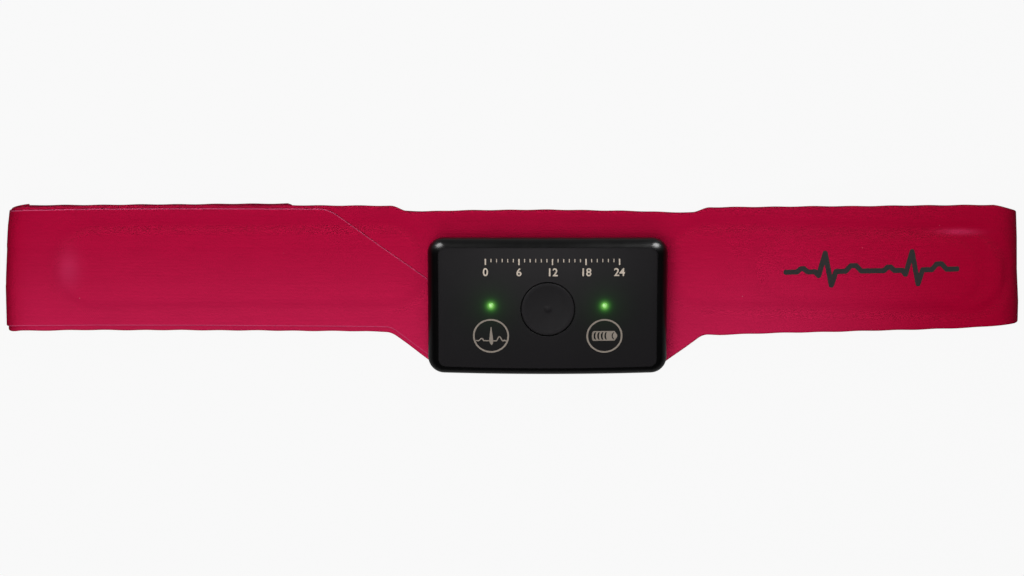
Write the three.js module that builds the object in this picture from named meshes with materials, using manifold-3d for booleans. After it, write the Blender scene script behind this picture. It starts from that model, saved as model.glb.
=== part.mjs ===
// Holter monitor: a chest-worn heart recorder snapped onto a textile belt.
// The belt's closed loop lies folded flat, with the recorder facing up.
// Units are millimetres, +X runs along the belt, +Y across it and +Z up.

import * as THREE from 'three';
import { mergeVertices } from 'three/addons/utils/BufferGeometryUtils.js';
import Module from 'manifold-3d';

const wasm = await Module();
wasm.setup();

// Belt, as it lies
const beltLength = 318;
const strapWidth = 39.6;
const bandThickness = 1.5;
const webThickness = 1.2;
const coverThickness = 0.7;
const laminateGap = 0.2;
const leftFoldHeight = 9;
const rightFoldHeight = 16.6;
const dockTopHeight = 5.7;
const dockFlatMargin = 2.5;

// Outline of the band's front
const flareDepth = 10.4;
const flareReach = 14;
const flareOverhang = 12.6;
const flareRounding = 1.6;
const stepOverhang = 10;
const stepLength = 5.5;
const stepDrop = 1.6;
const centreCrown = 0.6;
const leftFoldSkew = 0.9;
const rightFoldMiddleWidth = 35.2;
const rightFoldMiddleRise = 0.7;
const rightFoldEndWidth = 34;
const rightFoldEndRise = -0.4;

// Left cover layer
const coverTopInset = 0.9;
const coverBottomInset = 1.7;
const coverCutOverhang = 31.3;
const coverCutRounding = 3;
const coverCutSlopeShare = 0.71;
const coverWrapShare = 0.7;
const coverDockGap = 1.8;

// Closure at the back
const rearLeftLength = 84.6;
const tabLength = 43;
const tabCornerRadius = 5;
const patchThickness = 0.5;
const closureGap = 0.1;
const patchInset = 2.2;
const rearWidthAtTab = 39;
const rearRiseAtTab = 0.1;
const rearRightWidthAtLap = 38;
const rearRightRiseAtLap = 0.2;
const lapRampLength = 8;
const lapRampGap = 1.5;

// Electrode pads and conductors
const padThickness = 1;
const padWidth = 26.4;
const padMiddleRise = 0.3;
const leftPadFoldGap = 10.1;
const leftPadDockGap = 17.8;
const rightPadDockGap = 4.7;
const rightPadFoldShare = 0.19;
const padEndRounding = 13;
const centrePadThickness = 1.2;
const centrePadMargin = 4.2;
const conductorWidth = 6;
const conductorThickness = 0.3;
const conductorGap = 0.3;

// Recorder case
const recorderLength = 74.5;
const recorderWidth = 42.1;
const recorderThickness = 12.5;
const recorderX = 11.05;
const recorderDrop = 11.15;
const caseCornerRadius = 4.4;
const caseWall = 1.5;
const caseBow = 0.35;
const archDrop = 1.6;
const rearCoverHeight = 4.4;
const rearFloor = 1.3;
const rearEdgeRound = 2;
const gasketHeight = 0.5;
const gasketInset = 0.25;
const gasketWidth = 1;
const bevelStartHeight = 8.2;
const sideBevelWidth = 3.35;
const endBevelWidth = 2.45;
const bevelTurnShare = 0.72;
const roofThickness = 1.2;

// Face panel and what shows in it
const panelThickness = 1;
const panelCornerRadius = 2.2;
const panelSink = 0.2;
const panelGap = 0.15;
const ledSpacing = 35.1;
const ledRise = 0.75;
const lightPipeRadius = 0.75;
const lightPipeFlangeRadius = 1.4;
const lightPipeFlangeHeight = 0.5;
const lightPipeClearance = 0.25;
const ledHeight = 0.6;
const ledLength = 1.6;
const ledWidth = 1;
const ledPipeGap = 0.15;

// Event button and its switch
const buttonRadius = 8.2;
const buttonClearance = 0.3;
const buttonFlangeLip = 0.9;
const buttonFlangeHeight = 0.6;
const buttonRoofGap = 0.35;
const buttonEdgeRound = 0.45;
const buttonDish = 0.4;
const pipRadius = 0.9;
const pipHeight = 0.25;
const buttonTravel = 0.5;
const switchSide = 4.6;
const switchHeight = 1.2;
const switchBoreRadius = 1.35;
const switchBoreFloor = 0.3;
const plungerRadius = 1.05;
const plungerBottomGap = 0.15;

// Board, chips and battery
const boardEndGap = 1.25;
const boardSideGap = 1.35;
const boardThickness = 1;
const boardCornerRadius = 3;
const boardHeight = 6;
const chipCornerGap = 1.4;
const processorSide = 7;
const processorHeight = 0.9;
const memoryLength = 8;
const memoryWidth = 6;
const memoryHeight = 1;
const radioLength = 10;
const radioWidth = 7;
const radioHeight = 1.4;
const frontEndSide = 5.5;
const frontEndHeight = 0.8;
const batteryEndGap = 0.6;
const batterySideRoom = 6.55;
const batteryThickness = 3.6;
const batteryCornerRadius = 2;
const batteryPadThickness = 0.5;
const batteryPadInset = 2;
const connectorLength = 6;
const connectorWidth = 2.6;
const connectorHeight = 1.6;
const leadWidth = 3.4;
const leadThickness = 0.5;
const leadGap = 0.1;

// Screws and their bosses
const screwInset = 5.25;
const screwHeadRadius = 1.8;
const screwHeadHeight = 1.2;
const screwHeadSink = 0.4;
const screwShankRadius = 0.7;
const screwReach = 1.6;
const screwTipGap = 0.4;
const screwSlotLength = 2.2;
const screwSlotWidth = 0.5;
const screwSlotDepth = 0.6;
const screwClearance = 0.3;
const bossRadius = 2.1;
const bossFootRadius = 3;
const bossFootHeight = 1.2;

// Snap studs on the belt, sockets and pins in the recorder
const studInsetX = 13.25;
const studInsetY = 11.05;
const studNeckRadius = 1.4;
const studHeadRadius = 1.8;
const studHeadHeight = 0.9;
const studRise = 2;
const studFlangeRadius = 3.3;
const studFlangeThickness = 0.3;
const studShankRadius = 1;
const studHoleRadius = 1.35;
const studCapRadius = 4;
const studCapThickness = 0.7;
const snapClearance = 0.35;
const snapGap = 0.3;
const socketRadius = 4.1;
const socketFlangeRadius = 5.2;
const socketFlangeHeight = 0.4;
const socketRoof = 0.6;
const socketClearance = 0.3;
const pinRadius = 0.8;
const pinBarrelRadius = 1.3;
const pinTipHeight = 0.9;
const dockPlateThickness = 1.2;
const dockPlateInset = 3.75;
const dockPlateChamfer = 0.4;

// Counts of flats and steps that round shapes are made with
const cornerSteps = 5;
const sideSteps = 8;
const turnSteps = 18;
const smallTurnSteps = 12;
const bevelSteps = 5;
const leftFoldSteps = 12;
const rightFoldSteps = 16;
const padEndSteps = 6;
const padRunSteps = 18;
const frontRunSteps = 14;
const dockRunSteps = 10;
const roundingSteps = 4;
const stepRunSteps = 5;
const strapSteps = 6;

// How far cutting solids run past a face, and the least distance between stations
const overrun = 1;
const leastStation = 0.1;

// Places worked out from the sizes
const halfBelt = beltLength / 2;
const leftFoldRadius = leftFoldHeight / 2;
const rightFoldRadius = rightFoldHeight / 2;
const leftFoldX = -halfBelt + leftFoldRadius + laminateGap + coverThickness;
const rightFoldX = halfBelt - rightFoldRadius;
const recorderLeftX = recorderX - recorderLength / 2;
const recorderRightX = recorderX + recorderLength / 2;
const dockLeftX = recorderLeftX + dockFlatMargin;
const dockRightX = recorderRightX - dockFlatMargin;
const dockPlateTop = dockTopHeight + dockPlateThickness;
const recorderBase = dockPlateTop + studFlangeThickness + snapGap;
const bandUnderside = dockTopHeight - bandThickness;
const tabEndX = leftFoldX + rearLeftLength;
const tabRootX = tabEndX - tabLength;
const lapHeight = webThickness + 2 * patchThickness + closureGap;
const frontCoverHeight = rearCoverHeight + gasketHeight;
const boardTop = boardHeight + boardThickness;
const boardLength = recorderLength - 2 * (caseWall + boardEndGap);
const boardWidth = recorderWidth - 2 * (caseWall + boardSideGap);
const screwX = recorderLength / 2 - screwInset;
const screwY = recorderWidth / 2 - screwInset;
const studSpacingX = recorderLength - 2 * studInsetX;
const studSpacingY = recorderWidth - 2 * studInsetY;
const batteryLength = studSpacingX - 2 * (socketFlangeRadius + batteryEndGap);
const batteryWidth = recorderWidth - 2 * (caseWall + batterySideRoom);
const leftPadStartX = leftFoldX + leftPadFoldGap;
const leftPadEndX = recorderLeftX - leftPadDockGap;
const rightPadStartX = recorderRightX + rightPadDockGap;
const archRadius = (recorderLength / 2) ** 2 / (2 * archDrop);
const panelTop = recorderThickness - panelSink;
const recessFloor = panelTop - panelThickness - panelGap;
const roofUnderside = recessFloor - roofThickness;

// Finishes, as seen in the photograph or usual for such a piece
const crimsonTextile = { color: 0xa5123b, roughness: 0.75, metalness: 0 };
const crimsonWeb = { color: 0x9c0f36, roughness: 0.85, metalness: 0 };
const blackGloss = { color: 0x0b0a0c, roughness: 0.12, metalness: 0 };
const blackMatt = { color: 0x222123, roughness: 0.6, metalness: 0 };
const blackRubber = { color: 0x17171a, roughness: 0.8, metalness: 0 };
const darkPad = { color: 0x2a2a2d, roughness: 0.7, metalness: 0 };
const steel = { color: 0xb9bcc0, roughness: 0.3, metalness: 1 };
const gold = { color: 0xcfa658, roughness: 0.35, metalness: 1 };
const boardGreen = { color: 0x1d5a3a, roughness: 0.5, metalness: 0 };
const chipBlack = { color: 0x18181a, roughness: 0.5, metalness: 0 };
const shieldSteel = { color: 0xa7aaad, roughness: 0.35, metalness: 1 };
const cellSilver = { color: 0xb4b6ba, roughness: 0.4, metalness: 0.6 };
const foamGrey = { color: 0x55565a, roughness: 0.95, metalness: 0 };
const greenLight = { color: 0xb7ea99, roughness: 0.25, metalness: 0 };
const whitePlastic = { color: 0xe6e4dc, roughness: 0.5, metalness: 0 };

const part = new THREE.Group();
const recorder = new THREE.Group();
recorder.position.set(recorderX, -recorderDrop, recorderBase);
part.add(recorder);

function addPiece(parent, name, geometry, finish, x = 0, y = 0, z = 0) {
  const piece = new THREE.Mesh(geometry, new THREE.MeshStandardMaterial(finish));
  piece.name = name;
  piece.position.set(x, y, z);
  parent.add(piece);
  return piece;
}

function solidOf(geometry) {
  const bare = new THREE.BufferGeometry();
  bare.setAttribute('position', geometry.getAttribute('position'));
  if (geometry.index) bare.setIndex(geometry.index);
  const merged = mergeVertices(bare);
  return new wasm.Manifold(new wasm.Mesh({
    numProp: 3,
    vertProperties: Float32Array.from(merged.getAttribute('position').array),
    triVerts: Uint32Array.from(merged.index.array),
  }));
}

function geometryOf(solid) {
  const mesh = solid.getMesh();
  const geometry = new THREE.BufferGeometry();
  geometry.setAttribute('position', new THREE.BufferAttribute(mesh.vertProperties, 3));
  geometry.setIndex(new THREE.BufferAttribute(mesh.triVerts, 1));
  return geometry;
}

function join(geometry, others) {
  return geometryOf(others.reduce((solid, other) => solid.add(solidOf(other)), solidOf(geometry)));
}

function cut(geometry, others) {
  return geometryOf(others.reduce((solid, other) => solid.subtract(solidOf(other)), solidOf(geometry)));
}

function meshFrom(points, faces) {
  const geometry = new THREE.BufferGeometry();
  geometry.setAttribute('position', new THREE.Float32BufferAttribute(points.flat(), 3));
  geometry.setIndex(faces.flat());
  return geometry;
}

// An upright cylinder between two heights
function post(radius, low, high, x = 0, y = 0, steps = turnSteps) {
  const geometry = new THREE.CylinderGeometry(radius, radius, high - low, steps);
  geometry.rotateX(Math.PI / 2);
  geometry.translate(x, y, (low + high) / 2);
  return geometry;
}

// A turned piece about the vertical, from a profile of radius and height
function turned(profile, steps = turnSteps) {
  const geometry = new THREE.LatheGeometry(profile.map(([r, z]) => new THREE.Vector2(r, z)), steps);
  geometry.rotateX(Math.PI / 2);
  return geometryOf(solidOf(geometry));
}

// A flat plate with round corners, standing on a height
function plate(length, width, radius, thickness, base = 0) {
  const x = length / 2;
  const y = width / 2;
  const outline = new THREE.Shape();
  outline.moveTo(x - radius, -y);
  outline.absarc(x - radius, -y + radius, radius, -Math.PI / 2, 0);
  outline.absarc(x - radius, y - radius, radius, 0, Math.PI / 2);
  outline.absarc(-x + radius, y - radius, radius, Math.PI / 2, Math.PI);
  outline.absarc(-x + radius, -y + radius, radius, Math.PI, 1.5 * Math.PI);
  const geometry = new THREE.ExtrudeGeometry(outline, {
    depth: thickness, bevelEnabled: false, curveSegments: cornerSteps,
  });
  geometry.translate(0, 0, base);
  return geometry;
}

function slopeBetween(share) {
  const held = Math.min(Math.max(share, 0), 1);
  return held * held * (3 - 2 * held);
}

// Rises in proportion once past zero, with a rounded start
function roundedRamp(distance, rounding) {
  if (distance <= -rounding) return 0;
  if (distance >= rounding) return distance;
  return (distance + rounding) ** 2 / (4 * rounding);
}

// The belt's run: along the front it is X, and past each fold's crest it goes on
// round the fold as the distance from the crest.
const runStart = leftFoldX - Math.PI * leftFoldRadius;
const runEnd = rightFoldX + Math.PI * rightFoldRadius;

function frontHeight(x) {
  if (x < dockLeftX) {
    const share = (x - leftFoldX) / (dockLeftX - leftFoldX);
    return leftFoldHeight + (dockTopHeight - leftFoldHeight) * slopeBetween(share);
  }
  const share = (x - dockRightX) / (rightFoldX - dockRightX);
  return dockTopHeight + (rightFoldHeight - dockTopHeight) * slopeBetween(share);
}

// A point of the band's outer face, with the face's normal, in the XZ plane
function bandPoint(run) {
  if (run < leftFoldX) {
    const angle = (leftFoldX - run) / leftFoldRadius;
    const normal = [-Math.sin(angle), Math.cos(angle)];
    const point = [leftFoldX + leftFoldRadius * normal[0], leftFoldRadius + leftFoldRadius * normal[1]];
    return { point, normal };
  }
  if (run > rightFoldX) {
    const angle = (run - rightFoldX) / rightFoldRadius;
    const normal = [Math.sin(angle), Math.cos(angle)];
    const point = [rightFoldX + rightFoldRadius * normal[0], rightFoldRadius + rightFoldRadius * normal[1]];
    return { point, normal };
  }
  const reach = laminateGap / 2;
  const slope = (frontHeight(run + reach) - frontHeight(run - reach)) / (2 * reach);
  const size = Math.hypot(slope, 1);
  return { point: [run, frontHeight(run)], normal: [-slope / size, 1 / size] };
}

// Rows of the strap's line: the place as a share of half the belt, then the rise
// of its middle and its width as shares of the strap width
const strapLineShares = [
  [-1.00, -0.011, 1.000],
  [-0.82, 0.000, 1.000],
  [-0.62, 0.000, 1.000],
  [-0.26, -0.015, 1.009],
  [0.41, -0.034, 1.022],
  [0.95, 0.042, 0.967],
];

function strapLine(x) {
  const place = x / halfBelt;
  const rows = strapLineShares;
  let next = rows.findIndex((row) => row[0] > place);
  if (next < 1) next = next === 0 ? 1 : rows.length - 1;
  const [before, after] = [rows[next - 1], rows[next]];
  const along = Math.min(Math.max((place - before[0]) / (after[0] - before[0]), 0), 1);
  const rise = strapWidth * (before[1] + (after[1] - before[1]) * along);
  const width = strapWidth * (before[2] + (after[2] - before[2]) * along);
  return { rise, width };
}

function blendLines(first, second, share) {
  return {
    rise: first.rise + (second.rise - first.rise) * share,
    width: first.width + (second.width - first.width) * share,
  };
}

// The lower and upper edge of the band at a place of its run
function bandEdges(run) {
  let line = strapLine(Math.min(Math.max(run, leftFoldX), rightFoldX));
  if (run < leftFoldX) {
    const turn = (leftFoldX - run) / (Math.PI * leftFoldRadius);
    line = { rise: line.rise - leftFoldSkew / 2 * Math.sin(Math.PI * turn), width: line.width };
  }
  if (run > rightFoldX) {
    const turn = (run - rightFoldX) / (Math.PI * rightFoldRadius);
    const middle = { rise: rightFoldMiddleRise, width: rightFoldMiddleWidth };
    const end = { rise: rightFoldEndRise, width: rightFoldEndWidth };
    line = turn < 0.5 ? blendLines(line, middle, 2 * turn) : blendLines(middle, end, 2 * turn - 1);
  }
  const fromLeft = run - (recorderLeftX - flareOverhang);
  const fromRight = recorderRightX + flareOverhang - run;
  const flareRun = Math.min(fromLeft, fromRight);
  const flareShare = roundedRamp(flareRun, flareRounding) - roundedRamp(flareRun - flareReach, flareRounding);
  const flare = flareDepth * flareShare / flareReach;
  const stepRun = Math.min(run - (recorderLeftX - stepOverhang), recorderRightX + stepOverhang - run);
  const step = stepDrop * slopeBetween(stepRun / stepLength + 0.5);
  const fromMiddle = (run - recorderX) / (recorderLength / 2);
  const crown = centreCrown * Math.max(1 - fromMiddle * fromMiddle, 0);
  return {
    low: line.rise - line.width / 2 - flare,
    high: line.rise + line.width / 2 - step + crown,
  };
}

// A closed layer of the belt: stations give an outer and an inner point in XZ,
// and the lower and upper edge in Y
function layer(stations) {
  const points = [];
  const faces = [];
  for (const { outer, inner, low, high } of stations) {
    points.push([outer[0], low, outer[1]], [outer[0], high, outer[1]]);
    points.push([inner[0], high, inner[1]], [inner[0], low, inner[1]]);
  }
  for (let i = 0; i + 1 < stations.length; i += 1) {
    for (let side = 0; side < 4; side += 1) {
      const a = 4 * i + side;
      const b = 4 * i + (side + 1) % 4;
      faces.push([a, b, b + 4], [a, b + 4, a + 4]);
    }
  }
  const last = 4 * (stations.length - 1);
  faces.push([0, 2, 1], [0, 3, 2], [last, last + 1, last + 2], [last, last + 2, last + 3]);
  const geometry = meshFrom(points, faces);
  return signedVolume(points, faces) < 0 ? meshFrom(points, faces.map(([a, b, c]) => [a, c, b])) : geometry;
}

function signedVolume(points, faces) {
  const corner = (index) => new THREE.Vector3(...points[index]);
  return faces.reduce((sum, [a, b, c]) => sum + corner(a).dot(corner(b).cross(corner(c))) / 6, 0);
}

// A station of a layer that follows the band, between two depths under its outer face
function followBand(run, outerDepth, innerDepth, low, high) {
  const { point, normal } = bandPoint(run);
  const at = (depth) => [point[0] - normal[0] * depth, point[1] - normal[1] * depth];
  return { outer: at(outerDepth), inner: at(innerDepth), low, high };
}

// A station of a strap that lies level, by the height of its underside
function layFlat(x, base, thickness, line) {
  return {
    outer: [x, base], inner: [x, base + thickness],
    low: line.rise - line.width / 2, high: line.rise + line.width / 2,
  };
}

function spread(start, end, steps) {
  return Array.from({ length: steps + 1 }, (_, i) => start + (end - start) * i / steps);
}

function inOrder(...lists) {
  const runs = lists.flat().sort((a, b) => a - b);
  return runs.filter((run, i) => i === 0 || run - runs[i - 1] > leastStation);
}

const leftStepX = recorderLeftX - stepOverhang;
const rightStepX = recorderRightX + stepOverhang;
const leftFlareX = recorderLeftX - flareOverhang;
const rightFlareX = recorderRightX + flareOverhang;
const roundedRuns = (middle, reach, steps) => spread(middle - reach, middle + reach, steps);
const flareRuns = [leftFlareX, leftFlareX + flareReach, rightFlareX - flareReach, rightFlareX].flatMap(
  (middle) => roundedRuns(middle, flareRounding, roundingSteps),
);
const stepRuns = [leftStepX, rightStepX].flatMap(
  (middle) => roundedRuns(middle, stepLength / 2, stepRunSteps),
);

// Base band: the laminated front of the belt, one piece round both folds
function makeBaseBand() {
  const runs = inOrder(
    spread(runStart, leftFoldX, leftFoldSteps),
    spread(leftFoldX, dockLeftX, frontRunSteps),
    spread(dockLeftX, dockRightX, dockRunSteps),
    spread(dockRightX, rightFoldX, frontRunSteps),
    spread(rightFoldX, runEnd, rightFoldSteps),
    flareRuns, stepRuns,
  );
  const band = layer(runs.map((run) => {
    const { low, high } = bandEdges(run);
    return followBand(run, 0, bandThickness, low, high);
  }));
  const holes = studPlaces.map(([x, y]) => post(
    studHoleRadius, bandUnderside - overrun, dockTopHeight + overrun,
    recorderX + x, y - recorderDrop, smallTurnSteps,
  ));
  return cut(band, holes);
}

// Left cover layer: a second laminate on the band, cut off on the slant by the recorder
function makeLeftCover() {
  const wrapEnd = leftFoldX - coverWrapShare * Math.PI * leftFoldRadius;
  const dockEdge = recorderLeftX + dockPlateInset - coverDockGap;
  const cutStart = recorderLeftX - coverCutOverhang;
  const runs = inOrder(
    spread(wrapEnd, leftFoldX, leftFoldSteps),
    spread(leftFoldX, dockEdge, frontRunSteps),
    roundedRuns(cutStart, coverCutRounding, roundingSteps),
    roundedRuns(leftFlareX, flareRounding, roundingSteps),
  );
  return layer(runs.map((run) => {
    const { low } = bandEdges(run);
    const line = strapLine(Math.max(run, leftFoldX));
    const turn = Math.max(leftFoldX - run, 0) / (Math.PI * leftFoldRadius);
    const skew = leftFoldSkew / 2 * Math.sin(Math.PI * turn);
    const slant = coverCutSlopeShare * roundedRamp(run - cutStart, coverCutRounding);
    const high = line.rise - skew + line.width / 2 - coverTopInset - slant;
    return followBand(run, -laminateGap - coverThickness, -laminateGap, low + coverBottomInset, high);
  }));
}

// Electrode pads lie under the band, with round ends away from the recorder
function makePad(start, end, roundedEnd) {
  const ends = spread(0, Math.PI / 2, padEndSteps).map((angle) => padEndRounding * (1 - Math.cos(angle)));
  const endRuns = ends.map((distance) => (roundedEnd < 0 ? start + distance : end - distance));
  const runs = inOrder(endRuns, spread(start, end, padRunSteps));
  return layer(runs.map((run) => {
    const fromEnd = roundedEnd < 0 ? run - start : end - run;
    const left = Math.max(padEndRounding - fromEnd, 0) / padEndRounding;
    const half = padWidth / 2 - padEndRounding * (1 - Math.sqrt(Math.max(1 - left * left, 0)));
    const depth = bandThickness + laminateGap;
    return followBand(run, depth, depth + padThickness, padMiddleRise - half, padMiddleRise + half);
  }));
}

function makeConductor(start, end) {
  const depth = bandThickness + laminateGap;
  const y = studSpacingY / 2 - recorderDrop;
  const half = conductorWidth / 2;
  return layer(spread(start, end, strapSteps).map(
    (run) => followBand(run, depth, depth + conductorThickness, y - half, y + half),
  ));
}

// Rear straps and the hook-and-loop closure
const leftStrapLine = { rise: strapLine(leftFoldX).rise, width: strapLine(leftFoldX).width };
const tabLine = { rise: rearRiseAtTab, width: rearWidthAtTab };
const rightStrapLine = { rise: rightFoldEndRise, width: rightFoldEndWidth };
const lapLine = { rise: rearRightRiseAtLap, width: rearRightWidthAtLap };

function rearLeftLine(x) {
  return blendLines(leftStrapLine, tabLine, (x - leftFoldX) / (tabEndX - leftFoldX));
}

function rearRightLine(x) {
  return blendLines(rightStrapLine, lapLine, (rightFoldX - x) / (rightFoldX - tabRootX));
}

function makeRearLeftStrap() {
  return layer(spread(leftFoldX, tabRootX, strapSteps).map(
    (x) => layFlat(x, 0, webThickness, rearLeftLine(x)),
  ));
}

function makeRearRightStrap() {
  const rampEnd = tabEndX + lapRampGap;
  const runs = inOrder(
    spread(tabRootX, rampEnd, strapSteps),
    spread(rampEnd, rampEnd + lapRampLength, strapSteps),
    spread(rampEnd + lapRampLength, rightFoldX, strapSteps),
  );
  return layer(runs.map((x) => {
    const base = lapHeight * (1 - slopeBetween((x - rampEnd) / lapRampLength));
    return layFlat(x, base, webThickness, rearRightLine(x));
  }));
}

// A patch with two round corners at its right end, from one X to another
function endPiece(startX, endX, line, radius, base, thickness) {
  const first = line(startX);
  const last = line(endX);
  const outline = new THREE.Shape();
  const lastLow = last.rise - last.width / 2;
  const lastHigh = last.rise + last.width / 2;
  outline.moveTo(startX, first.rise - first.width / 2);
  outline.lineTo(endX - radius, lastLow);
  outline.absarc(endX - radius, lastLow + radius, radius, -Math.PI / 2, 0);
  outline.absarc(endX - radius, lastHigh - radius, radius, 0, Math.PI / 2);
  outline.lineTo(startX, first.rise + first.width / 2);
  outline.closePath();
  const geometry = new THREE.ExtrudeGeometry(outline, {
    depth: thickness, bevelEnabled: false, curveSegments: cornerSteps,
  });
  geometry.translate(0, 0, base);
  return geometry;
}

function insetLine(line, inset) {
  return (x) => ({ rise: line(x).rise, width: line(x).width - 2 * inset });
}

// The recorder's case is built from level rings whose long sides bow outwards a
// little and which sink towards both ends, because the case arches over the chest.
function archAt(x) {
  return x * x / (2 * archRadius);
}

function caseRing(insetX, insetY, height, archShare, radius = caseCornerRadius) {
  const halfX = recorderLength / 2 - insetX;
  const halfY = recorderWidth / 2 - insetY;
  const arc = (centreX, from) => spread(from, from + Math.PI / 2, cornerSteps).map((angle) => [
    centreX + radius * Math.cos(angle), halfY - radius + radius * Math.sin(angle),
  ]);
  const side = spread(halfX - radius, radius - halfX, sideSteps).slice(1, -1).map((x) => [x, halfY]);
  const upper = [...arc(halfX - radius, 0), ...side, ...arc(radius - halfX, Math.PI / 2)];
  const bowed = upper.map(([x, y]) => [x, y - caseBow * (x / halfX) ** 2]);
  const lower = bowed.map(([x, y]) => [x, -y]).reverse();
  return [...bowed, ...lower].map(([x, y]) => [x, y, height - archShare * archAt(x)]);
}

// Joins rings of equal counts from the lowest up, and closes both ends
function stack(rings) {
  const count = rings[0].length;
  const faces = [];
  for (let level = 0; level + 1 < rings.length; level += 1) {
    for (let i = 0; i < count; i += 1) {
      const a = level * count + i;
      const b = level * count + (i + 1) % count;
      faces.push([a, b, b + count], [a, b + count, a + count]);
    }
  }
  const top = (rings.length - 1) * count;
  for (let i = 0; i + 1 < count / 2; i += 1) {
    const mirror = count - 1 - i;
    faces.push([i, mirror, mirror - 1], [i, mirror - 1, i + 1]);
    faces.push([top + i, top + mirror - 1, top + mirror], [top + i, top + i + 1, top + mirror - 1]);
  }
  return meshFrom(rings.flat(), faces);
}

const screwPlaces = [[-1, -1], [1, -1], [1, 1], [-1, 1]].map(([x, y]) => [x * screwX, y * screwY]);
const studPlaces = [[-1, -1], [1, -1], [1, 1], [-1, 1]].map(
  ([x, y]) => [x * studSpacingX / 2, y * studSpacingY / 2],
);
const ledPlaces = [[-ledSpacing / 2, ledRise], [ledSpacing / 2, ledRise]];

// The holes for the button and the light pipes go through the roof and the panel alike
function buttonWell() {
  const radius = buttonRadius + buttonClearance;
  return post(radius, frontCoverHeight, recorderThickness + overrun, 0, 0, 2 * turnSteps);
}

function lightWindows() {
  return ledPlaces.map(([x, y]) => post(
    lightPipeRadius + lightPipeClearance, frontCoverHeight, recorderThickness + overrun,
    x, y, smallTurnSteps,
  ));
}

// Front cover: glossy frame with a round bevel, a roof under the panel and four bosses
function makeFrontCover() {
  const turn = bevelTurnShare * Math.PI / 2;
  const bevel = spread(0, turn, bevelSteps).map((angle) => {
    const inwards = (1 - Math.cos(angle)) / (1 - Math.cos(turn));
    const upwards = Math.sin(angle) / Math.sin(turn);
    const radius = caseCornerRadius + (panelCornerRadius - caseCornerRadius) * inwards;
    const height = bevelStartHeight + (recorderThickness - bevelStartHeight) * upwards;
    return caseRing(sideBevelWidth * inwards, endBevelWidth * inwards, height, upwards, radius);
  });
  const outside = stack([caseRing(0, 0, frontCoverHeight, 0), ...bevel]);
  const innerRadius = caseCornerRadius - caseWall;
  const inside = stack([
    caseRing(caseWall, caseWall, frontCoverHeight - overrun, 0, innerRadius),
    caseRing(caseWall, caseWall, bevelStartHeight, 0, innerRadius),
    caseRing(sideBevelWidth, endBevelWidth, roofUnderside, 1, panelCornerRadius),
  ]);
  const inset = [sideBevelWidth - panelGap, endBevelWidth - panelGap];
  const recess = stack([
    caseRing(...inset, recessFloor, 1, panelCornerRadius),
    caseRing(...inset, recorderThickness + overrun, 1, panelCornerRadius),
  ]);
  const bosses = screwPlaces.map(([x, y]) => post(bossRadius, boardTop, recessFloor - roofThickness, x, y));
  const pilots = screwPlaces.map(([x, y]) => post(
    screwShankRadius + screwClearance, boardTop - overrun, boardTop + screwReach + screwTipGap,
    x, y, smallTurnSteps,
  ));
  const body = join(cut(outside, [inside]), bosses);
  return cut(body, [recess, buttonWell(), ...pilots, ...lightWindows()]);
}

// Face panel: a thin matt inlay that follows the arch of the case
function makeFacePanel() {
  const panel = stack([
    caseRing(sideBevelWidth, endBevelWidth, panelTop - panelThickness, 1, panelCornerRadius),
    caseRing(sideBevelWidth, endBevelWidth, panelTop, 1, panelCornerRadius),
  ]);
  return cut(panel, [buttonWell(), ...lightWindows()]);
}

// Event button: a dished cap with a lip that the roof holds in, and a pip to feel
const buttonLipTop = roofUnderside - buttonRoofGap;
const buttonUnderside = buttonLipTop - buttonFlangeHeight;

function makeEventButton() {
  const lip = buttonRadius + buttonFlangeLip;
  return turned([
    [0, buttonUnderside],
    [lip, buttonUnderside],
    [lip, buttonLipTop],
    [buttonRadius, buttonLipTop],
    [buttonRadius, panelTop - buttonEdgeRound],
    [buttonRadius - buttonEdgeRound / 3, panelTop - buttonEdgeRound / 3],
    [buttonRadius - buttonEdgeRound, panelTop],
    [buttonRadius - 3 * buttonEdgeRound, panelTop - buttonDish / 2],
    [buttonRadius / 2, panelTop - buttonDish],
    [pipRadius, panelTop - buttonDish],
    [pipRadius / 2, panelTop - buttonDish + pipHeight],
    [0, panelTop - buttonDish + pipHeight],
  ], 2 * turnSteps);
}

function makeSwitchPlunger() {
  const bottom = boardTop + switchBoreFloor + buttonTravel + plungerBottomGap;
  return post(plungerRadius, bottom, buttonUnderside, 0, 0, smallTurnSteps);
}

function makeEventSwitch() {
  const body = plate(switchSide, switchSide, chipCornerGap / 4, switchHeight, boardTop);
  const bore = post(switchBoreRadius, boardTop + switchBoreFloor, boardTop + switchHeight + overrun);
  return cut(body, [bore]);
}

function makeLightPipe() {
  const bottom = boardTop + ledHeight + ledPipeGap;
  const flangeTop = roofUnderside - archAt(ledSpacing / 2) - buttonRoofGap;
  const flangeBottom = flangeTop - lightPipeFlangeHeight;
  const top = panelTop - archAt(ledSpacing / 2);
  return turned([
    [0, bottom],
    [lightPipeRadius, bottom],
    [lightPipeRadius, flangeBottom],
    [lightPipeFlangeRadius, flangeBottom],
    [lightPipeFlangeRadius, flangeTop],
    [lightPipeRadius, flangeTop],
    [lightPipeRadius, top],
    [0, top],
  ], smallTurnSteps);
}

function makeMainBoard() {
  const board = plate(boardLength, boardWidth, boardCornerRadius, boardThickness, boardHeight);
  return cut(board, screwPlaces.map(([x, y]) => post(
    screwShankRadius + screwClearance, boardHeight - overrun, boardTop + overrun, x, y, smallTurnSteps,
  )));
}

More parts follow.
